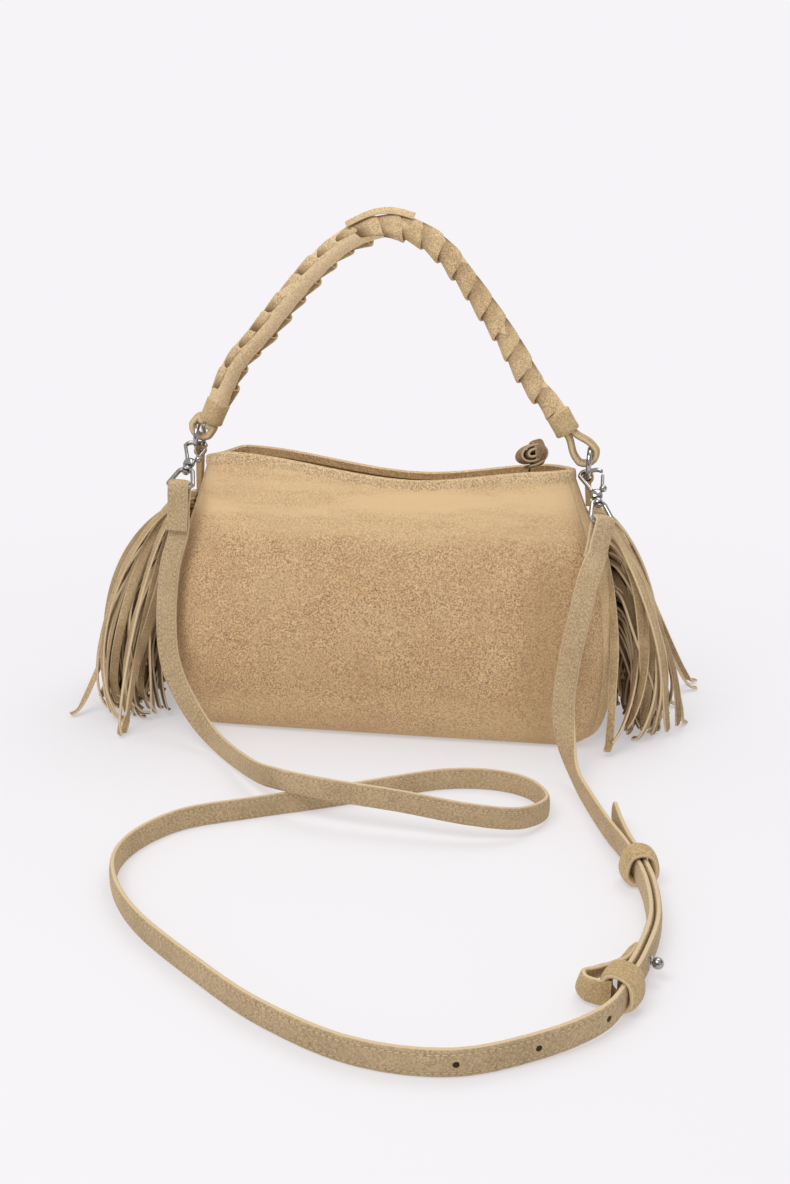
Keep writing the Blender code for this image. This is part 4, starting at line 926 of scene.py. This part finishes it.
def make_facing():
    """place(q, t): q round the mouth, t down inside the rim and level to the zip's slot."""
    level = 0.14565
    upper = rim_place(TOP - 0.0052, 0.0026)
    rim = plan(TOP, 0.0026)
    low, bend = rim.copy(), rim * 0.94
    low[:, 2], bend[:, 2] = level + 0.0020, level
    slot = rim.copy()
    slot[:, 0] = np.clip(slot[:, 0] * 1.03, -0.0965, 0.0965)
    slot[:, 1] = np.clip(slot[:, 1], -0.0052, 0.0052)
    slot[:, 2] = level
    t = np.linspace(0, 1, 9)[1:, None, None]
    rows = np.concatenate([upper[None], low[None], bend[None], bend + (slot - bend) * t])
    points = np.swapaxes(rows, 0, 1)
    made = build("zip_facing_panel", [shell(points, wrap_u=True, wrap_v=False, caps=False)],
                 "bag", ["zip_facing"], outward=False)
    thicken(made, FACING_WALL, 1.0)
    paint(made, FACING_SUEDE)


make_rim()
make_facing()
print("rim and facing made")

# %% [markdown]
# Fine metal teeth stand in two rows on woven tapes. Each tooth is a small box that narrows
# at its ends, and the two rows are half a pitch apart. One formula makes a whole row, which
# is lighter than a copy of an object for every tooth.

# %% Zip
ZIP_HALF, TOOTH_PITCH = 0.0950, 0.0020


def tooth_rows(side, shift):
    """Boxes 1.1 mm long at a 2 mm pitch; place(k, i, j) = middle(k) + end(i) + corner(j)."""
    x = np.arange(-ZIP_HALF, ZIP_HALF + 0.0002, TOOTH_PITCH) + shift
    ends = np.array([0.0006, 0.0009, 0.0021, 0.0024]) * side
    size = np.array([0.6, 1.0, 1.0, 0.9])
    corner = np.array([(-1, -1), (1, -1), (1, 1), (-1, 1)])
    shape = (len(x), len(ends), 4)
    px = x[:, None, None] + 0.00055 * size[None, :, None] * corner[None, None, :, 0]
    py = np.broadcast_to(ends[None, :, None], shape)
    pz = 0.1450 + 0.0011 * size[None, :, None] * corner[None, None, :, 1] + 0 * px
    return shell(np.stack([px, py, pz], -1))


for SIDE, SIGN, SHIFT in (("front", -1, 0.0), ("back", 1, 0.0009)):
    teeth = build(f"zip_{SIDE}_teeth_row", [tooth_rows(SIGN, SHIFT)], "bag", [f"zip_teeth_{SIDE}"],
                  sharp=20)
    paint(teeth, ZIP_METAL)
    paint(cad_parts[f"zip_tape_{SIDE}"], TAPE_CLOTH)
paint(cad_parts["zip_slider"], ZIP_METAL)
print("zip made")

# %% [markdown]
# ## Puller
# A thong loop runs through the slider's bridge and carries a knot: a dark strip rolled up
# on itself like a small coil and bound once over, its pale cut edge showing as a spiral.

# %% Thong and knot
KNOT = np.array([0.0840, 0.0, 0.1751])


def knot_shells():
    """A rolled strip: radius grows with the angle; a second strip is wound over it."""
    turn = np.linspace(0, 2 * np.pi * 2.2, 150)
    radius = 0.0012 + 0.0068 * turn / turn[-1]
    face = unit(np.array([0.42, -0.86, 0.30]))
    wide = unit(np.cross(face, [0.25, 0.0, -1.0]))
    tall = np.cross(wide, face)
    line = KNOT + (radius * 1.34 * np.cos(turn + 0.7))[:, None] * wide
    line = line + (radius * 0.86 * np.sin(turn + 0.7))[:, None] * tall
    line = line + face * (0.0022 * (1.0 - turn / turn[-1]))[:, None]
    section = oval(0.0112, 0.0021, 20, 3.4)
    roll = shell(sweep(line, face + 0 * line, section),
                 edge=cut_edge(section, 0.0046, 0.0008))
    a = np.linspace(0, 2 * np.pi, 60, endpoint=False)
    ring = KNOT + wide * 0.0046 + (0.0072 * np.cos(a))[:, None] * tall
    ring = ring + (0.0066 * np.sin(a))[:, None] * face - (0.0016 * np.cos(a))[:, None] * wide
    over = oval(0.0068, 0.0018, 20, 3.4)
    wrap = shell(sweep(ring, wide + 0 * ring, over, True), wrap_u=True,
                 edge=cut_edge(over, 0.0028, 0.0005))
    return [roll, wrap]


knot = build("pull_knot_roll", knot_shells(), "puller", ["pull_knot"])
paint(knot, KNOT_SUEDE)
paint(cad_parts["pull_thong"], KNOT_SUEDE)
print("puller made")

# %% [markdown]
# ## Handle
# A rope core is dressed with short suede bands laid side by side, each lapping the one
# before, so its front edge stands up over a slit; painted shade darkens the slit and the
# band ends, where they dive into the rope. Between their ends a stripe of core stays plain,
# in front on the left half and behind on the right, and a loose lace end lies over the top
# of the arch. All bands are one formula with the band's number as a third parameter, which
# keeps them evenly spaced along the bend.

# %% Handle lace and core
HANDLE_ROUTE = ((-0.1155, 0.1970), (-0.1015, 0.2265), (-0.0825, 0.2480), (-0.0640, 0.2700),
                (-0.0450, 0.2900), (-0.0250, 0.3045), (-0.0020, 0.3105), (0.0160, 0.3060),
                (0.0310, 0.2955), (0.0430, 0.2810), (0.0550, 0.2650), (0.0665, 0.2490),
                (0.0765, 0.2330), (0.0865, 0.2175), (0.0970, 0.2060), (0.1030, 0.1960))
HANDLE = through([(x, 0.0, z) for x, z in HANDLE_ROUTE], 400)
HANDLE_GONE = arc_length(HANDLE)
HANDLE_WAY = unit(np.gradient(HANDLE, axis=0))
COLLAR = 0.0145


def along_handle(along, across, up):
    """Bends a straight shape onto the handle's line, which lies in the XZ plane."""
    inside = np.clip(along, 0.0, HANDLE_GONE[-1])
    centre = np.stack([np.interp(inside, HANDLE_GONE, HANDLE[:, k]) for k in range(3)], -1)
    way = unit(np.stack([np.interp(inside, HANDLE_GONE, HANDLE_WAY[:, k]) for k in range(3)], -1))
    normal = np.stack([-way[..., 2], 0 * along, way[..., 0]], -1)
    return (centre + way * (along - inside)[..., None] + AWAY * across[..., None]
            + normal * up[..., None])


def side_of_rope(along):
    """Where the lace's gap lies round the rope: in front on the left half, behind on the right."""
    share = smooth_step((along / HANDLE_GONE[-1] - 0.42) / 0.16)
    return np.radians(222.0 + 158.0 * share), 1.0 - 0.15 * share


def lace_shells(turns=21, steps=56):
    """Short bands laid over the rope side by side, each dipping into it at both ends.

    place(n, i, j) = rope place at (start(n) + slant * i) + radius(i, j) * direction(i).
    """
    run = HANDLE_GONE[-1] - COLLAR - 0.004
    pitch = run / turns
    n = np.arange(turns)[:, None, None]
    i = np.linspace(-1, 1, steps)[None, :, None]
    j = np.linspace(0, 2 * np.pi, 22, endpoint=False)
    half, thick = pitch * 0.575, 0.0022
    u = np.sign(np.cos(j)) * np.abs(np.cos(j)) ** 0.5
    v = np.sign(np.sin(j)) * np.abs(np.sin(j)) ** 0.5
    middle = COLLAR / 2 + 0.002 + pitch * (n + 0.5) + pitch * 0.42 * i
    along = middle + half * u[None, None, :] * (1 - 0.10 * np.abs(i) ** 3)
    gap, slim = side_of_rope(middle)
    angle = gap + np.pi + i * np.radians(142.0)
    dive = smooth_step((np.abs(i) - 0.86) / 0.14) * 0.0024
    under = smooth_step((np.sin(angle + 0.25) * -1.0 - 0.1) / 0.7)
    tug = 0.0003 * np.sin(n * 2.1 + 1.0) + 0.0003 * np.sin(angle * 2 + n)
    lap = (0.0004 + 0.0013 * under) * (u[None, None, :] + 1.0)
    radius = (0.0056 + lap + tug) * slim - dive + thick / 2 * v[None, None, :]
    angle = angle + 0 * radius
    points = along_handle(along + 0 * radius, radius * np.cos(angle), radius * np.sin(angle))
    edge = smooth_step((u - 0.90) / 0.08)[None, None, :]
    # Painted shade: the low side of each band, where it slips under its neighbour, and both ends, where
    # the band dives into the rope.
    low = smooth_step((np.abs(i) - 0.45) / 0.35) * 0.9 + 0.45
    shade = smooth_step((-u - 0.02) / 0.55)[None, None, :] * np.minimum(low, 1.0)
    shade = np.maximum(shade, smooth_step((np.abs(i) - 0.88) / 0.07) * 0.8)
    return shell(points, edge=edge, shade=shade)


def flap_shell():
    """The loose end of the lace, lying over the top of the arch."""
    t = np.linspace(0, 1, 40)
    along = HANDLE_GONE[-1] * (0.435 + 0.110 * t)
    up = 0.0078 + 0.0014 * np.sin(np.pi * t) ** 2
    line = along_handle(along, -0.0044 + 0.003 * t, up)
    section = oval(0.0062, 0.0020, 20, 3.0)
    return shell(sweep(line, np.array([0.0, 1.0, 0.55]) + 0 * line, section),
                 edge=cut_edge(section, 0.0026, 0.0004))


def tube_shell(line, radius, count):
    """A round tube: place(i, j) = line(i) + radius(i) * direction(j)."""
    a = np.linspace(0, 2 * np.pi, count, endpoint=False)
    section = np.stack([np.cos(a), np.sin(a)], -1) * radius[:, None, None]
    return shell(sweep(line, AWAY + 0 * line, section))


lace = build("handle_lace_turns", [lace_shells(), flap_shell()], "handle", ["handle_lace"])
TAPER = 1 - 0.25 * smooth_step((0.006 - HANDLE_GONE) / 0.006)
ROPE = 0.0067 * side_of_rope(HANDLE_GONE)[1] * TAPER
core = build("handle_rope_core", [tube_shell(HANDLE[2:-8], ROPE[2:-8], 40)], "handle",
             ["handle_core"])
paint(lace, HANDLE_SUEDE)
paint(core, CORE_SUEDE)
print("handle line", round(HANDLE_GONE[-1], 3), "m long")

# %% [markdown]
# Collars are plain tubes with a lapped seam, and each loop is one band folded round its
# ring, with both ends going up into the collar. Both are drawn upright and then turned into
# the line of the handle's end, because upright rows are easier to read and to mend.

# %% Collars and loops
RING_PLACES = {"left": np.array([-0.1260, 0.0, 0.1800]), "right": np.array([0.1200, 0.0, 0.1710])}
SWING = unit(RING_PLACES["right"] - RING_PLACES["left"])


def frame_of(origin, direction):
    """Columns across, along and level, as a function that places (x, y, z) rows."""
    across = unit(np.cross(AWAY, direction))
    turn = np.stack([across, direction, np.cross(across, direction)])
    return lambda rows: origin + np.asarray(rows) @ turn


def collar_shell(place):
    """A short tube turned from one closed profile of (along, radius), wall and bore."""
    half, r = COLLAR / 2, 0.0075
    profile_rows = np.array([(-half, 0.0060), (-half, r - 0.0006), (-half + 0.0008, r),
                             (-half * 0.4, r - 0.0002), (half * 0.4, r - 0.0001),
                             (half - 0.0008, r), (half, r - 0.0006), (half, 0.0060),
                             (half - 0.001, 0.0052), (0.0, 0.0049), (-half + 0.001, 0.0052)])
    a = np.linspace(0, 2 * np.pi, 64, endpoint=False)
    lap = 0.00035 * smooth_step((np.sin(a / 2 + 2.0)) / 0.8)
    out = profile_rows[None, :, 1] + (profile_rows[None, :, 1] > 0.0065) * lap[:, None]
    rows = np.stack([out * np.cos(a)[:, None], np.broadcast_to(profile_rows[:, 0], out.shape),
                     out * np.sin(a)[:, None]], -1)
    edge = np.zeros(11)
    edge[[0, 1, 6, 7]] = 0.9
    return shell(place(rows), wrap_u=True, edge=edge[None])


def loop_shell(place, length):
    """A band that comes down from the collar, runs round the ring and goes back up."""
    half, thick, neck = 0.0090, 0.0045, 0.0023
    mid = half - thick / 2
    shoulder = length - COLLAR * 0.62
    a = np.radians(np.linspace(200, 340, 13))
    bottom = np.stack([mid * np.cos(a), half + mid * np.sin(a), 0 * a], -1)
    rows = np.vstack([[(-neck, length, 0), (-neck, shoulder, 0), (-mid * 0.86, half * 1.45, 0)],
                      bottom, [(mid * 0.86, half * 1.45, 0), (neck, shoulder, 0), (neck, length, 0)]])
    line = through(rows, 120)
    section = oval(0.0072, thick, 28, 2.7)
    edge = cut_edge(section, 0.0033, 0.0003)
    return shell(sweep(place(line), place([(0, 0, 1)]) - place([(0, 0, 0)]) + 0 * line, section),
                 edge=edge)


for SIDE, SIGN, END, ROWS in (("left", -1, HANDLE[0], HANDLE_ROUTE[:2]),
                              ("right", 1, HANDLE[-1], HANDLE_ROUTE[-2:])):
    SECOND = through([(x, 0.0, z) for x, z in ROWS], 3)[1]
    FOOT = RING_PLACES[SIDE] + SWING * SIGN * 0.0030
    WAY = unit(END - FOOT)
    collar = build(f"{SIDE}_collar_tube", [collar_shell(frame_of(END, unit(SECOND - END)))],
                   "handle", [f"{SIDE}_collar"], sharp=60)
    paint(collar, COLLAR_SUEDE)
    LOW = FOOT + WAY * (0.0016 - 0.0033 / 2)
    LENGTH = np.linalg.norm(END - LOW) - 0.001
    loop = build(f"{SIDE}_loop_band", [loop_shell(frame_of(LOW, WAY), LENGTH)], "handle",
                 [f"{SIDE}_handle_loop"])
    paint(loop, COLLAR_SUEDE)
print("collars and loops made")

# %% [markdown]
# ## Rings and swivel hooks
# The rings are bent from round wire and held by a folded tab of suede. Each hook is a cast
# piece: a bow open on one side, a sprung gate with a thumb ball that closes it, and a neck
# that turns in the hub of an oblong eye for the strap.

# %% Rings and tabs


def ring_shell(centre, normal, radius, wire, count=72):
    """A torus: a circle of one radius carried round a circle of the other."""
    a = np.linspace(0, 2 * np.pi, count, endpoint=False)
    other = np.cross(normal, AWAY)
    line = centre + radius * (np.cos(a)[:, None] * AWAY + np.sin(a)[:, None] * other)
    b = np.linspace(0, 2 * np.pi, 20, endpoint=False)
    section = wire * np.stack([np.cos(b), np.sin(b)], -1)
    return shell(sweep(line, normal + 0 * line, section, True), wrap_u=True)


for SIDE, CENTRE in RING_PLACES.items():
    ring = build(f"{SIDE}_wire_ring", [ring_shell(CENTRE, SWING, 0.00895, 0.0016)], "bag",
                 [f"{SIDE}_ring"])
    paint(ring, STEEL)
    paint(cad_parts[f"{SIDE}_ring_tab"], COLLAR_SUEDE)
print("rings made")

# %% [markdown]
# Each hook is drawn in its own plane and then leaned with a matrix, as the strap's weight
# pulls it forwards. Two tools are enough for castings of this size: a wire carried along
# rows, and a body turned from a profile.

# %% Wires and turned bodies
HOOK_LEAN = {"left": (58.0, 3.0, 0.0), "right": (50.0, -13.0, 30.0)}


def hook_matrix(side):
    forwards, sideways, _ = HOOK_LEAN[side]
    return (Matrix.Translation(RING_PLACES[side]) @ Matrix.Rotation(math.radians(-forwards), 4, "X")
            @ Matrix.Rotation(math.radians(sideways), 4, "Y"))


def placed(matrix, rows):
    m = np.array(matrix)
    return rows @ m[:3, :3].T + m[:3, 3]


def flat_arc(x, z, radius, first, last, count=14):
    a = np.radians(np.linspace(first, last, count))
    return np.stack([x + radius * np.cos(a), 0 * a, z + radius * np.sin(a)], -1)


def wire_shell(matrix, rows, wide, thick, count=90, closed=False, taper=0.0):
    """A wire of oval section carried along rows drawn in the hook's own plane."""
    line = through(rows, count)
    if closed:
        line = line[:-1]
    section = oval(wide, thick, 20, 2.3) * np.ones((len(line), 1, 1))
    if taper:
        t = np.linspace(0, 1, len(line))
        close = np.minimum(smooth_step(t / taper), smooth_step((1 - t) / taper))
        section = section * np.sqrt(0.10 + 0.90 * close)[:, None, None]
    points = sweep(line, AWAY + 0 * line, section, closed)
    return shell(placed(matrix, points), wrap_u=closed)


def turned_shell(matrix, rows, count=40, closed=False):
    """A body of revolution round the hook's length from (radius, place) rows."""
    rows = np.array(rows)
    a = np.linspace(0, 2 * np.pi, count, endpoint=False)
    points = np.stack([rows[:, None, 0] * np.cos(a), rows[:, None, 0] * np.sin(a),
                       rows[:, None, 1] + 0 * a], -1)
    return shell(placed(matrix, points), wrap_u=closed)


def ball_rows(radius, centre, count=14):
    a = np.linspace(-89, 89, count)
    return np.stack([radius * np.cos(np.radians(a)), centre + radius * np.sin(np.radians(a))], -1)


print("wire and turning tools ready")

# %% [markdown]
# The bow, the sprung gate with its thumb ball and the eye are pieces of their own on bodies
# of their own, because the hook turns in the eye's hub and the gate swings on the hook.

# %% Hooks, gates and eyes


def make_hook(side):
    matrix = hook_matrix(side)
    cx, cz, r = 0.0035, -0.0091, 0.0034
    bow = np.vstack([[(-0.0014, 0, -0.0222), (-0.0022, 0, -0.0207), (-0.0040, 0, -0.0160)],
                     flat_arc(-cx, cz, r, 180, 90), flat_arc(cx, cz, r, 90, 12)])
    base = np.array([(0.0010, -0.0270), (0.0034, -0.0266), (0.0038, -0.0256), (0.0038, -0.0228),
                     (0.0034, -0.0214), (0.0020, -0.0208), (0.0006, -0.0207)])
    neck = [(0.0012, -0.0262), (0.0012, -0.0321), (0.0019, -0.0323), (0.0020, -0.0329),
            (0.0014, -0.0334), (0.0003, -0.0335)]
    hook = build(f"{side}_hook_casting",
                 [wire_shell(matrix, bow, 0.0029, 0.0024, taper=0.05),
                  turned_shell(matrix @ Matrix.Diagonal((1.0, 0.62, 1.0, 1.0)), base),
                  turned_shell(matrix, neck)], f"{side}_hook", [f"{side}_hook"])
    paint(hook, STEEL)
    lever = [(0.0036, 0, -0.0213), (0.0046, 0, -0.0190), (0.0058, 0, -0.0140), (0.0068, 0, -0.0096)]
    ball = matrix @ Matrix.Translation((0.0050, 0, -0.0203))
    gate = build(f"{side}_gate_lever",
                 [wire_shell(matrix, lever, 0.0024, 0.0021, 40, taper=0.12),
                  turned_shell(ball, ball_rows(0.0023, 0.0), 24)],
                 f"{side}_gate", [f"{side}_gate"])
    paint(gate, STEEL)
    turned = matrix @ Matrix.Rotation(math.radians(HOOK_LEAN[side][2]), 4, "Z")
    half, hub, bottom, c = 0.0077, -0.0300, -0.0450, 0.0030
    shoulder = half * 0.62
    rows = np.vstack([flat_arc(half - c, bottom + c, c, -90, 0, 6),
                      flat_arc(shoulder - c, hub - c, c, 20, 90, 6),
                      flat_arc(-shoulder + c, hub - c, c, 90, 160, 6),
                      flat_arc(-half + c, bottom + c, c, 180, 270, 6)])
    rows = np.vstack([rows, rows[:1]])
    band = [(0.0016, -0.0286), (0.0027, -0.0286), (0.0029, -0.0290), (0.0029, -0.0310),
            (0.0027, -0.0314), (0.0016, -0.0314)]
    eye = build(f"{side}_eye_wire", [wire_shell(turned, rows, 0.0028, 0.0028, 150, True),
                                     turned_shell(turned, band, closed=True)],
                "bag", [f"{side}_eye"])
    paint(eye, STEEL)
    return [hook, gate, eye]


hardware = {side: make_hook(side) for side in ("left", "right")}
print("hooks, gates and eyes made")

# %% [markdown]
# ## Keepers and stud
# Two rings of suede hold the doubled strap together. The one near the bag slides; the one
# at the turn is part of the strap's own end, which bulges out in a bight and comes back as
# a short tab. A keeper is a closed band, so its rows are a closed loop round the strap.

# %% Sliding keeper


def band_shell(origin, side, along, rows, width, thick, count=110, bulge=0.0):
    """A closed band of suede round the strap, drawn as (side, height) rows."""
    rows = np.array(rows)
    rows = np.vstack([rows, rows[:1]])
    line = through(np.stack([rows[:, 0], 0 * rows[:, 0], rows[:, 1]], -1), count)[:-1]
    line = origin + line[:, :1] * side + line[:, 2:] * UP
    section = oval(width, thick, 28, 2.8)
    section[:, 1] += np.sign(section[:, 1]) * bulge * (1 - (section[:, 0] * 2 / width) ** 2)
    edge = cut_edge(section, width * 0.46, width * 0.03)
    return shell(sweep(line, along + 0 * line, section, True), wrap_u=True, edge=edge)


SIDE_1, ALONG_1 = np.array([0.9688, 0.2478, 0.0]), np.array([-0.2478, 0.9687, 0.0])
keeper_rows = ((-0.0040, 0.0025), (0.0040, 0.0025), (0.0071, 0.0058), (0.0074, 0.0105),
               (0.0052, 0.0166), (0.0, 0.0186), (-0.0052, 0.0166), (-0.0074, 0.0105),
               (-0.0071, 0.0058))
keeper = build("sliding_keeper_band",
               [band_shell(np.array([0.1560, -0.2020, 0.0]), SIDE_1, ALONG_1, keeper_rows, 0.0122, 0.0034,
                           bulge=0.0005)], "strap_keeper", ["sliding_keeper"])
paint(keeper, COLLAR_SUEDE)
print("sliding keeper made")

# %% [markdown]
# The strap's own end: the same kind of ring, and from it a strip that leans over, bulges
# out to the left in a bight and comes back as a tab. The strip is a sweep whose width
# direction leans more and more, which a flat band bent in one plane could not show.

# %% Strap end loop and tab
SIDE_2, ALONG_2 = np.array([0.9255, -0.3786, 0.0]), np.array([0.3786, 0.9254, 0.0])
loop_rows = ((-0.0050, 0.0027), (0.0020, 0.0025), (0.0062, 0.0056), (0.0070, 0.0100),
             (0.0052, 0.0160), (0.0, 0.0182), (-0.0052, 0.0166), (-0.0074, 0.0105),
             (-0.0075, 0.0056))
ORIGIN_2 = np.array([0.1472, -0.3085, 0.0])
bight_rows = ORIGIN_2 + [(0, 0, 0.0084)] + np.array([
    SIDE_2 * -0.0030 + ALONG_2 * -0.0046, SIDE_2 * -0.0085 + ALONG_2 * -0.0062,
    SIDE_2 * -0.0145 + ALONG_2 * -0.0058, SIDE_2 * -0.0180 + ALONG_2 * -0.0010,
    SIDE_2 * -0.0158 + ALONG_2 * 0.0050, SIDE_2 * -0.0112 + ALONG_2 * 0.0112,
    SIDE_2 * -0.0078 + ALONG_2 * 0.0190, SIDE_2 * -0.0075 + ALONG_2 * 0.0310])
tab_line = through(bight_rows, 90)
tab_share = np.linspace(0, 1, 90)[:, None]
tab_line[:, 2:] += 0.0016 * tab_share ** 2
tab_lean = UP + (SIDE_2 * 0.75 - ALONG_2 * 0.15) * smooth_step((tab_share - 0.2) / 0.3)
tab_slim = 1 - 0.30 * smooth_step((tab_share - 0.75) / 0.25)
tab_section = oval(0.0124, 0.0034, 28, 2.8) * tab_slim[:, None]
tab = shell(sweep(tab_line, tab_lean, tab_section), edge=cut_edge(tab_section[0], 0.0056, 0.0004))
end_loop = build("strap_end_loop",
                 [band_shell(ORIGIN_2, SIDE_2, ALONG_2, loop_rows, 0.0134, 0.0034, bulge=0.0005), tab],
                 "bag", ["end_loop"])
paint(end_loop, COLLAR_SUEDE)
print("end loop made")

# %% [markdown]
# A small ball stud buttons the outer layer to one of the strap's holes. It was turned on a
# lathe, so one profile turned round its axis gives the plate, the neck and the ball.

# %% Ball stud
OUTWARD = np.array([0.96906, -0.24684, 0.0])
FACE = np.array([0.1560, -0.2850, 0.0092]) + OUTWARD * 0.0030
stud_turn = Vector(OUTWARD).to_track_quat("Z", "Y").to_matrix().to_4x4()
stud_place = Matrix.Translation(FACE) @ stud_turn
stud_rows = np.vstack([[(0.0004, 0.0002), (0.0029, 0.0002), (0.0031, 0.0006), (0.0028, 0.0011),
                        (0.0014, 0.0013), (0.0013, 0.0017)], ball_rows(0.0027, 0.0040)[3:]])
stud = build("strap_ball_stud", [turned_shell(stud_place, stud_rows)], "bag", ["strap_stud"])
paint(stud, STEEL)
print("stud made")

# %% [markdown]
# ## Fringe
# Long strips of hide are slit into thongs and rolled into a thick bunch that is sewn down
# each gusset. The thongs spring outwards, fall in an arch and splay on the table. Every
# thong is a Bezier line with its own height, heading, reach and twist; a soft floor bends
# the longest ones so that they lie on the table. Simulated hair could fall the same way,
# but here every run gives the same thongs.

# %% One bunch of thongs
FLOOR = 0.0014
THONG_WIDTH, THONG_THICK = 0.0054, 0.0021


def gusset_x(side, z):
    stretch = rim_height(side * 0.115, 0.0) - TOP
    height = z - stretch * (z / TOP) ** 3
    return side * profile(height)[0] - 0.004 * (height / TOP) ** 2


def thongs(side, low_angle, high_angle, count, seed, y0, reach, rise, tips=()):
    """count lines from the gusset to the table; place(k, t) is a cubic Bezier of t."""
    rng = np.random.default_rng(seed)
    share = (np.arange(count) + 0.5) / count
    level = rng.permutation(share)
    angle = np.radians(low_angle + (high_angle - low_angle) * share + rng.normal(0, 9.0, count))
    level[:len(tips)] *= 0.2
    z = 0.143 - 0.080 * level ** 1.1
    root = np.stack([gusset_x(side, z) + side * (0.0018 + 0.0025 * np.abs(np.sin(angle))),
                     y0 + rng.uniform(-0.006, 0.006, count), z], -1)
    heading = np.stack([side * np.cos(angle), np.sin(angle), 0 * angle], -1)
    for k, tip in enumerate(tips):
        heading[k] = unit(np.array([*tip, z[k]]) - root[k])
    tip_heading = angle + rng.normal(0, 0.30, count)
    tip_heading = np.stack([side * np.cos(tip_heading), np.sin(tip_heading), 0 * angle], -1)
    long = (1.0 - 0.66 * level ** 1.5) * rng.uniform(0.82, 1.08, count)
    long = long * (1 - 0.20 * (angle / 1.3) ** 2)
    out, mid, end = (r * long for r in reach)
    end = end + 0.020 * rng.uniform(0, 1, count) ** 7
    lift = rise * rng.uniform(0.3, 1.1, count) * (1 - 0.7 * level)
    stops = [root, root + heading * out[:, None] + UP * lift[:, None],
             root + heading * mid[:, None], root + tip_heading * end[:, None]]
    stops[2][:, 2] = z * rng.uniform(0.22, 0.44, count)
    stops[3][:, 2] = rng.uniform(-0.010, 0.012, count)
    for k, tip in enumerate(tips):
        stops[2][k] = root[k] + (np.array([*tip, 0.0]) - root[k]) * (0.80, 0.80, 0.88)
        stops[3][k] = (*tip, -0.004)
    t = np.linspace(0, 1, 36)[None, :, None]
    line = (stops[0][:, None] * (1 - t) ** 3 + stops[1][:, None] * 3 * t * (1 - t) ** 2
            + stops[2][:, None] * 3 * t * t * (1 - t) + stops[3][:, None] * t ** 3)
    perp = np.stack([-heading[:, 1], heading[:, 0], 0 * angle], -1)[:, None]
    wave = np.sin(t * rng.uniform(2.5, 7, (count, 1, 1)) + rng.uniform(0, 6, (count, 1, 1)))
    line = line + perp * wave * 0.0075 * t
    bow = np.sin(t * rng.uniform(3, 8, (count, 1, 1)) + rng.uniform(0, 6, (count, 1, 1)))
    line = line + heading[:, None] * bow * 0.0040 * t
    bed = FLOOR + 0.0045 * rng.uniform(0, 1, (count, 1)) ** 3
    over = line[..., 2] - bed
    line[..., 2] = bed + 0.5 * (over + np.sqrt(over ** 2 + 0.0035 ** 2))
    clear = side * gusset_x(side, line[..., 2]) + 0.0030
    line[..., 0] = side * np.maximum(side * line[..., 0], clear)
    twist = rng.uniform(-0.7, 0.7, (count, 1, 1)) + rng.uniform(-2.0, 2.0, (count, 1, 1)) * t ** 1.5
    flat = smooth_step((0.012 - line[..., 2:]) / 0.010)
    twist = twist * (1 - flat)
    across = perp * np.cos(twist) + (UP + heading[:, None] * 0.6) * np.sin(twist)
    section = oval(THONG_WIDTH, THONG_THICK, 12, 3.2)
    narrow = (1.0 - 0.12 * t[..., None]) * rng.uniform(0.85, 1.12, (count, 1, 1, 1))
    points = sweep(line, across, section[None, None] * narrow)
    # A random tone for each thong, plus painted shade on the lower-rooted thongs deep in the bunch and
    # near the roots.
    dark = rng.uniform(0, 0.30, (count, 1, 1)) + 0.80 * level[:, None, None] ** 1.2
    dark = dark + 0.30 * (1 - smooth_step(t / 0.16))
    edge = cut_edge(section, 0.0022, 0.0003)
    return shell(points, edge=edge[None, None], shade=np.clip(dark, 0, 0.85))


print("thong recipe ready")

# %% [markdown]
# Three bunches stand beside each other on either gusset, each with its own fan of headings.
# A few long thongs get listed tips, where the table shows them lying far out.

# %% Six bunches
REACH = {-1: (0.036, 0.090, 0.060), 1: (0.025, 0.062, 0.040)}
RISE = {-1: 0.010, 1: 0.006}
BUNCHES = ((-1, "front", -62, -18, 34, -0.0050), (-1, "middle", -22, 22, 38, 0.0022),
           (-1, "back", 20, 62, 30, 0.0094), (1, "front", -34, -6, 24, -0.0040),
           (1, "middle", -10, 28, 40, 0.0030), (1, "back", 24, 66, 34, 0.0100))
LONG_TIPS = {(-1, "front"): ((-0.206, -0.040), (-0.164, -0.062)),
             (1, "front"): ((0.140, -0.056),),
             (1, "middle"): ((0.192, 0.006), (0.184, 0.030)),
             (1, "back"): ((0.203, 0.078), (0.198, 0.066))}
FIRST_SEED = 11
total = 0
for SIGN, NAME, LOW_ANGLE, HIGH_ANGLE, COUNT, Y0 in BUNCHES:
    node = ("left" if SIGN < 0 else "right") + "_fringe_" + NAME
    grids = thongs(SIGN, LOW_ANGLE, HIGH_ANGLE, COUNT, FIRST_SEED + total, Y0, REACH[SIGN],
                   RISE[SIGN], LONG_TIPS.get((SIGN, NAME), ()))
    bunch = build(node + "_thongs", [grids], "bag", [node])
    paint(bunch, FRINGE_SUEDE)
    total += COUNT
print(total, "thongs in six bunches")

# %% [markdown]
# ## Closing
# The picture keeps plain colours, as the view transform is set to Standard.

# %% Finish
bpy.context.scene.view_settings.view_transform = "Standard"
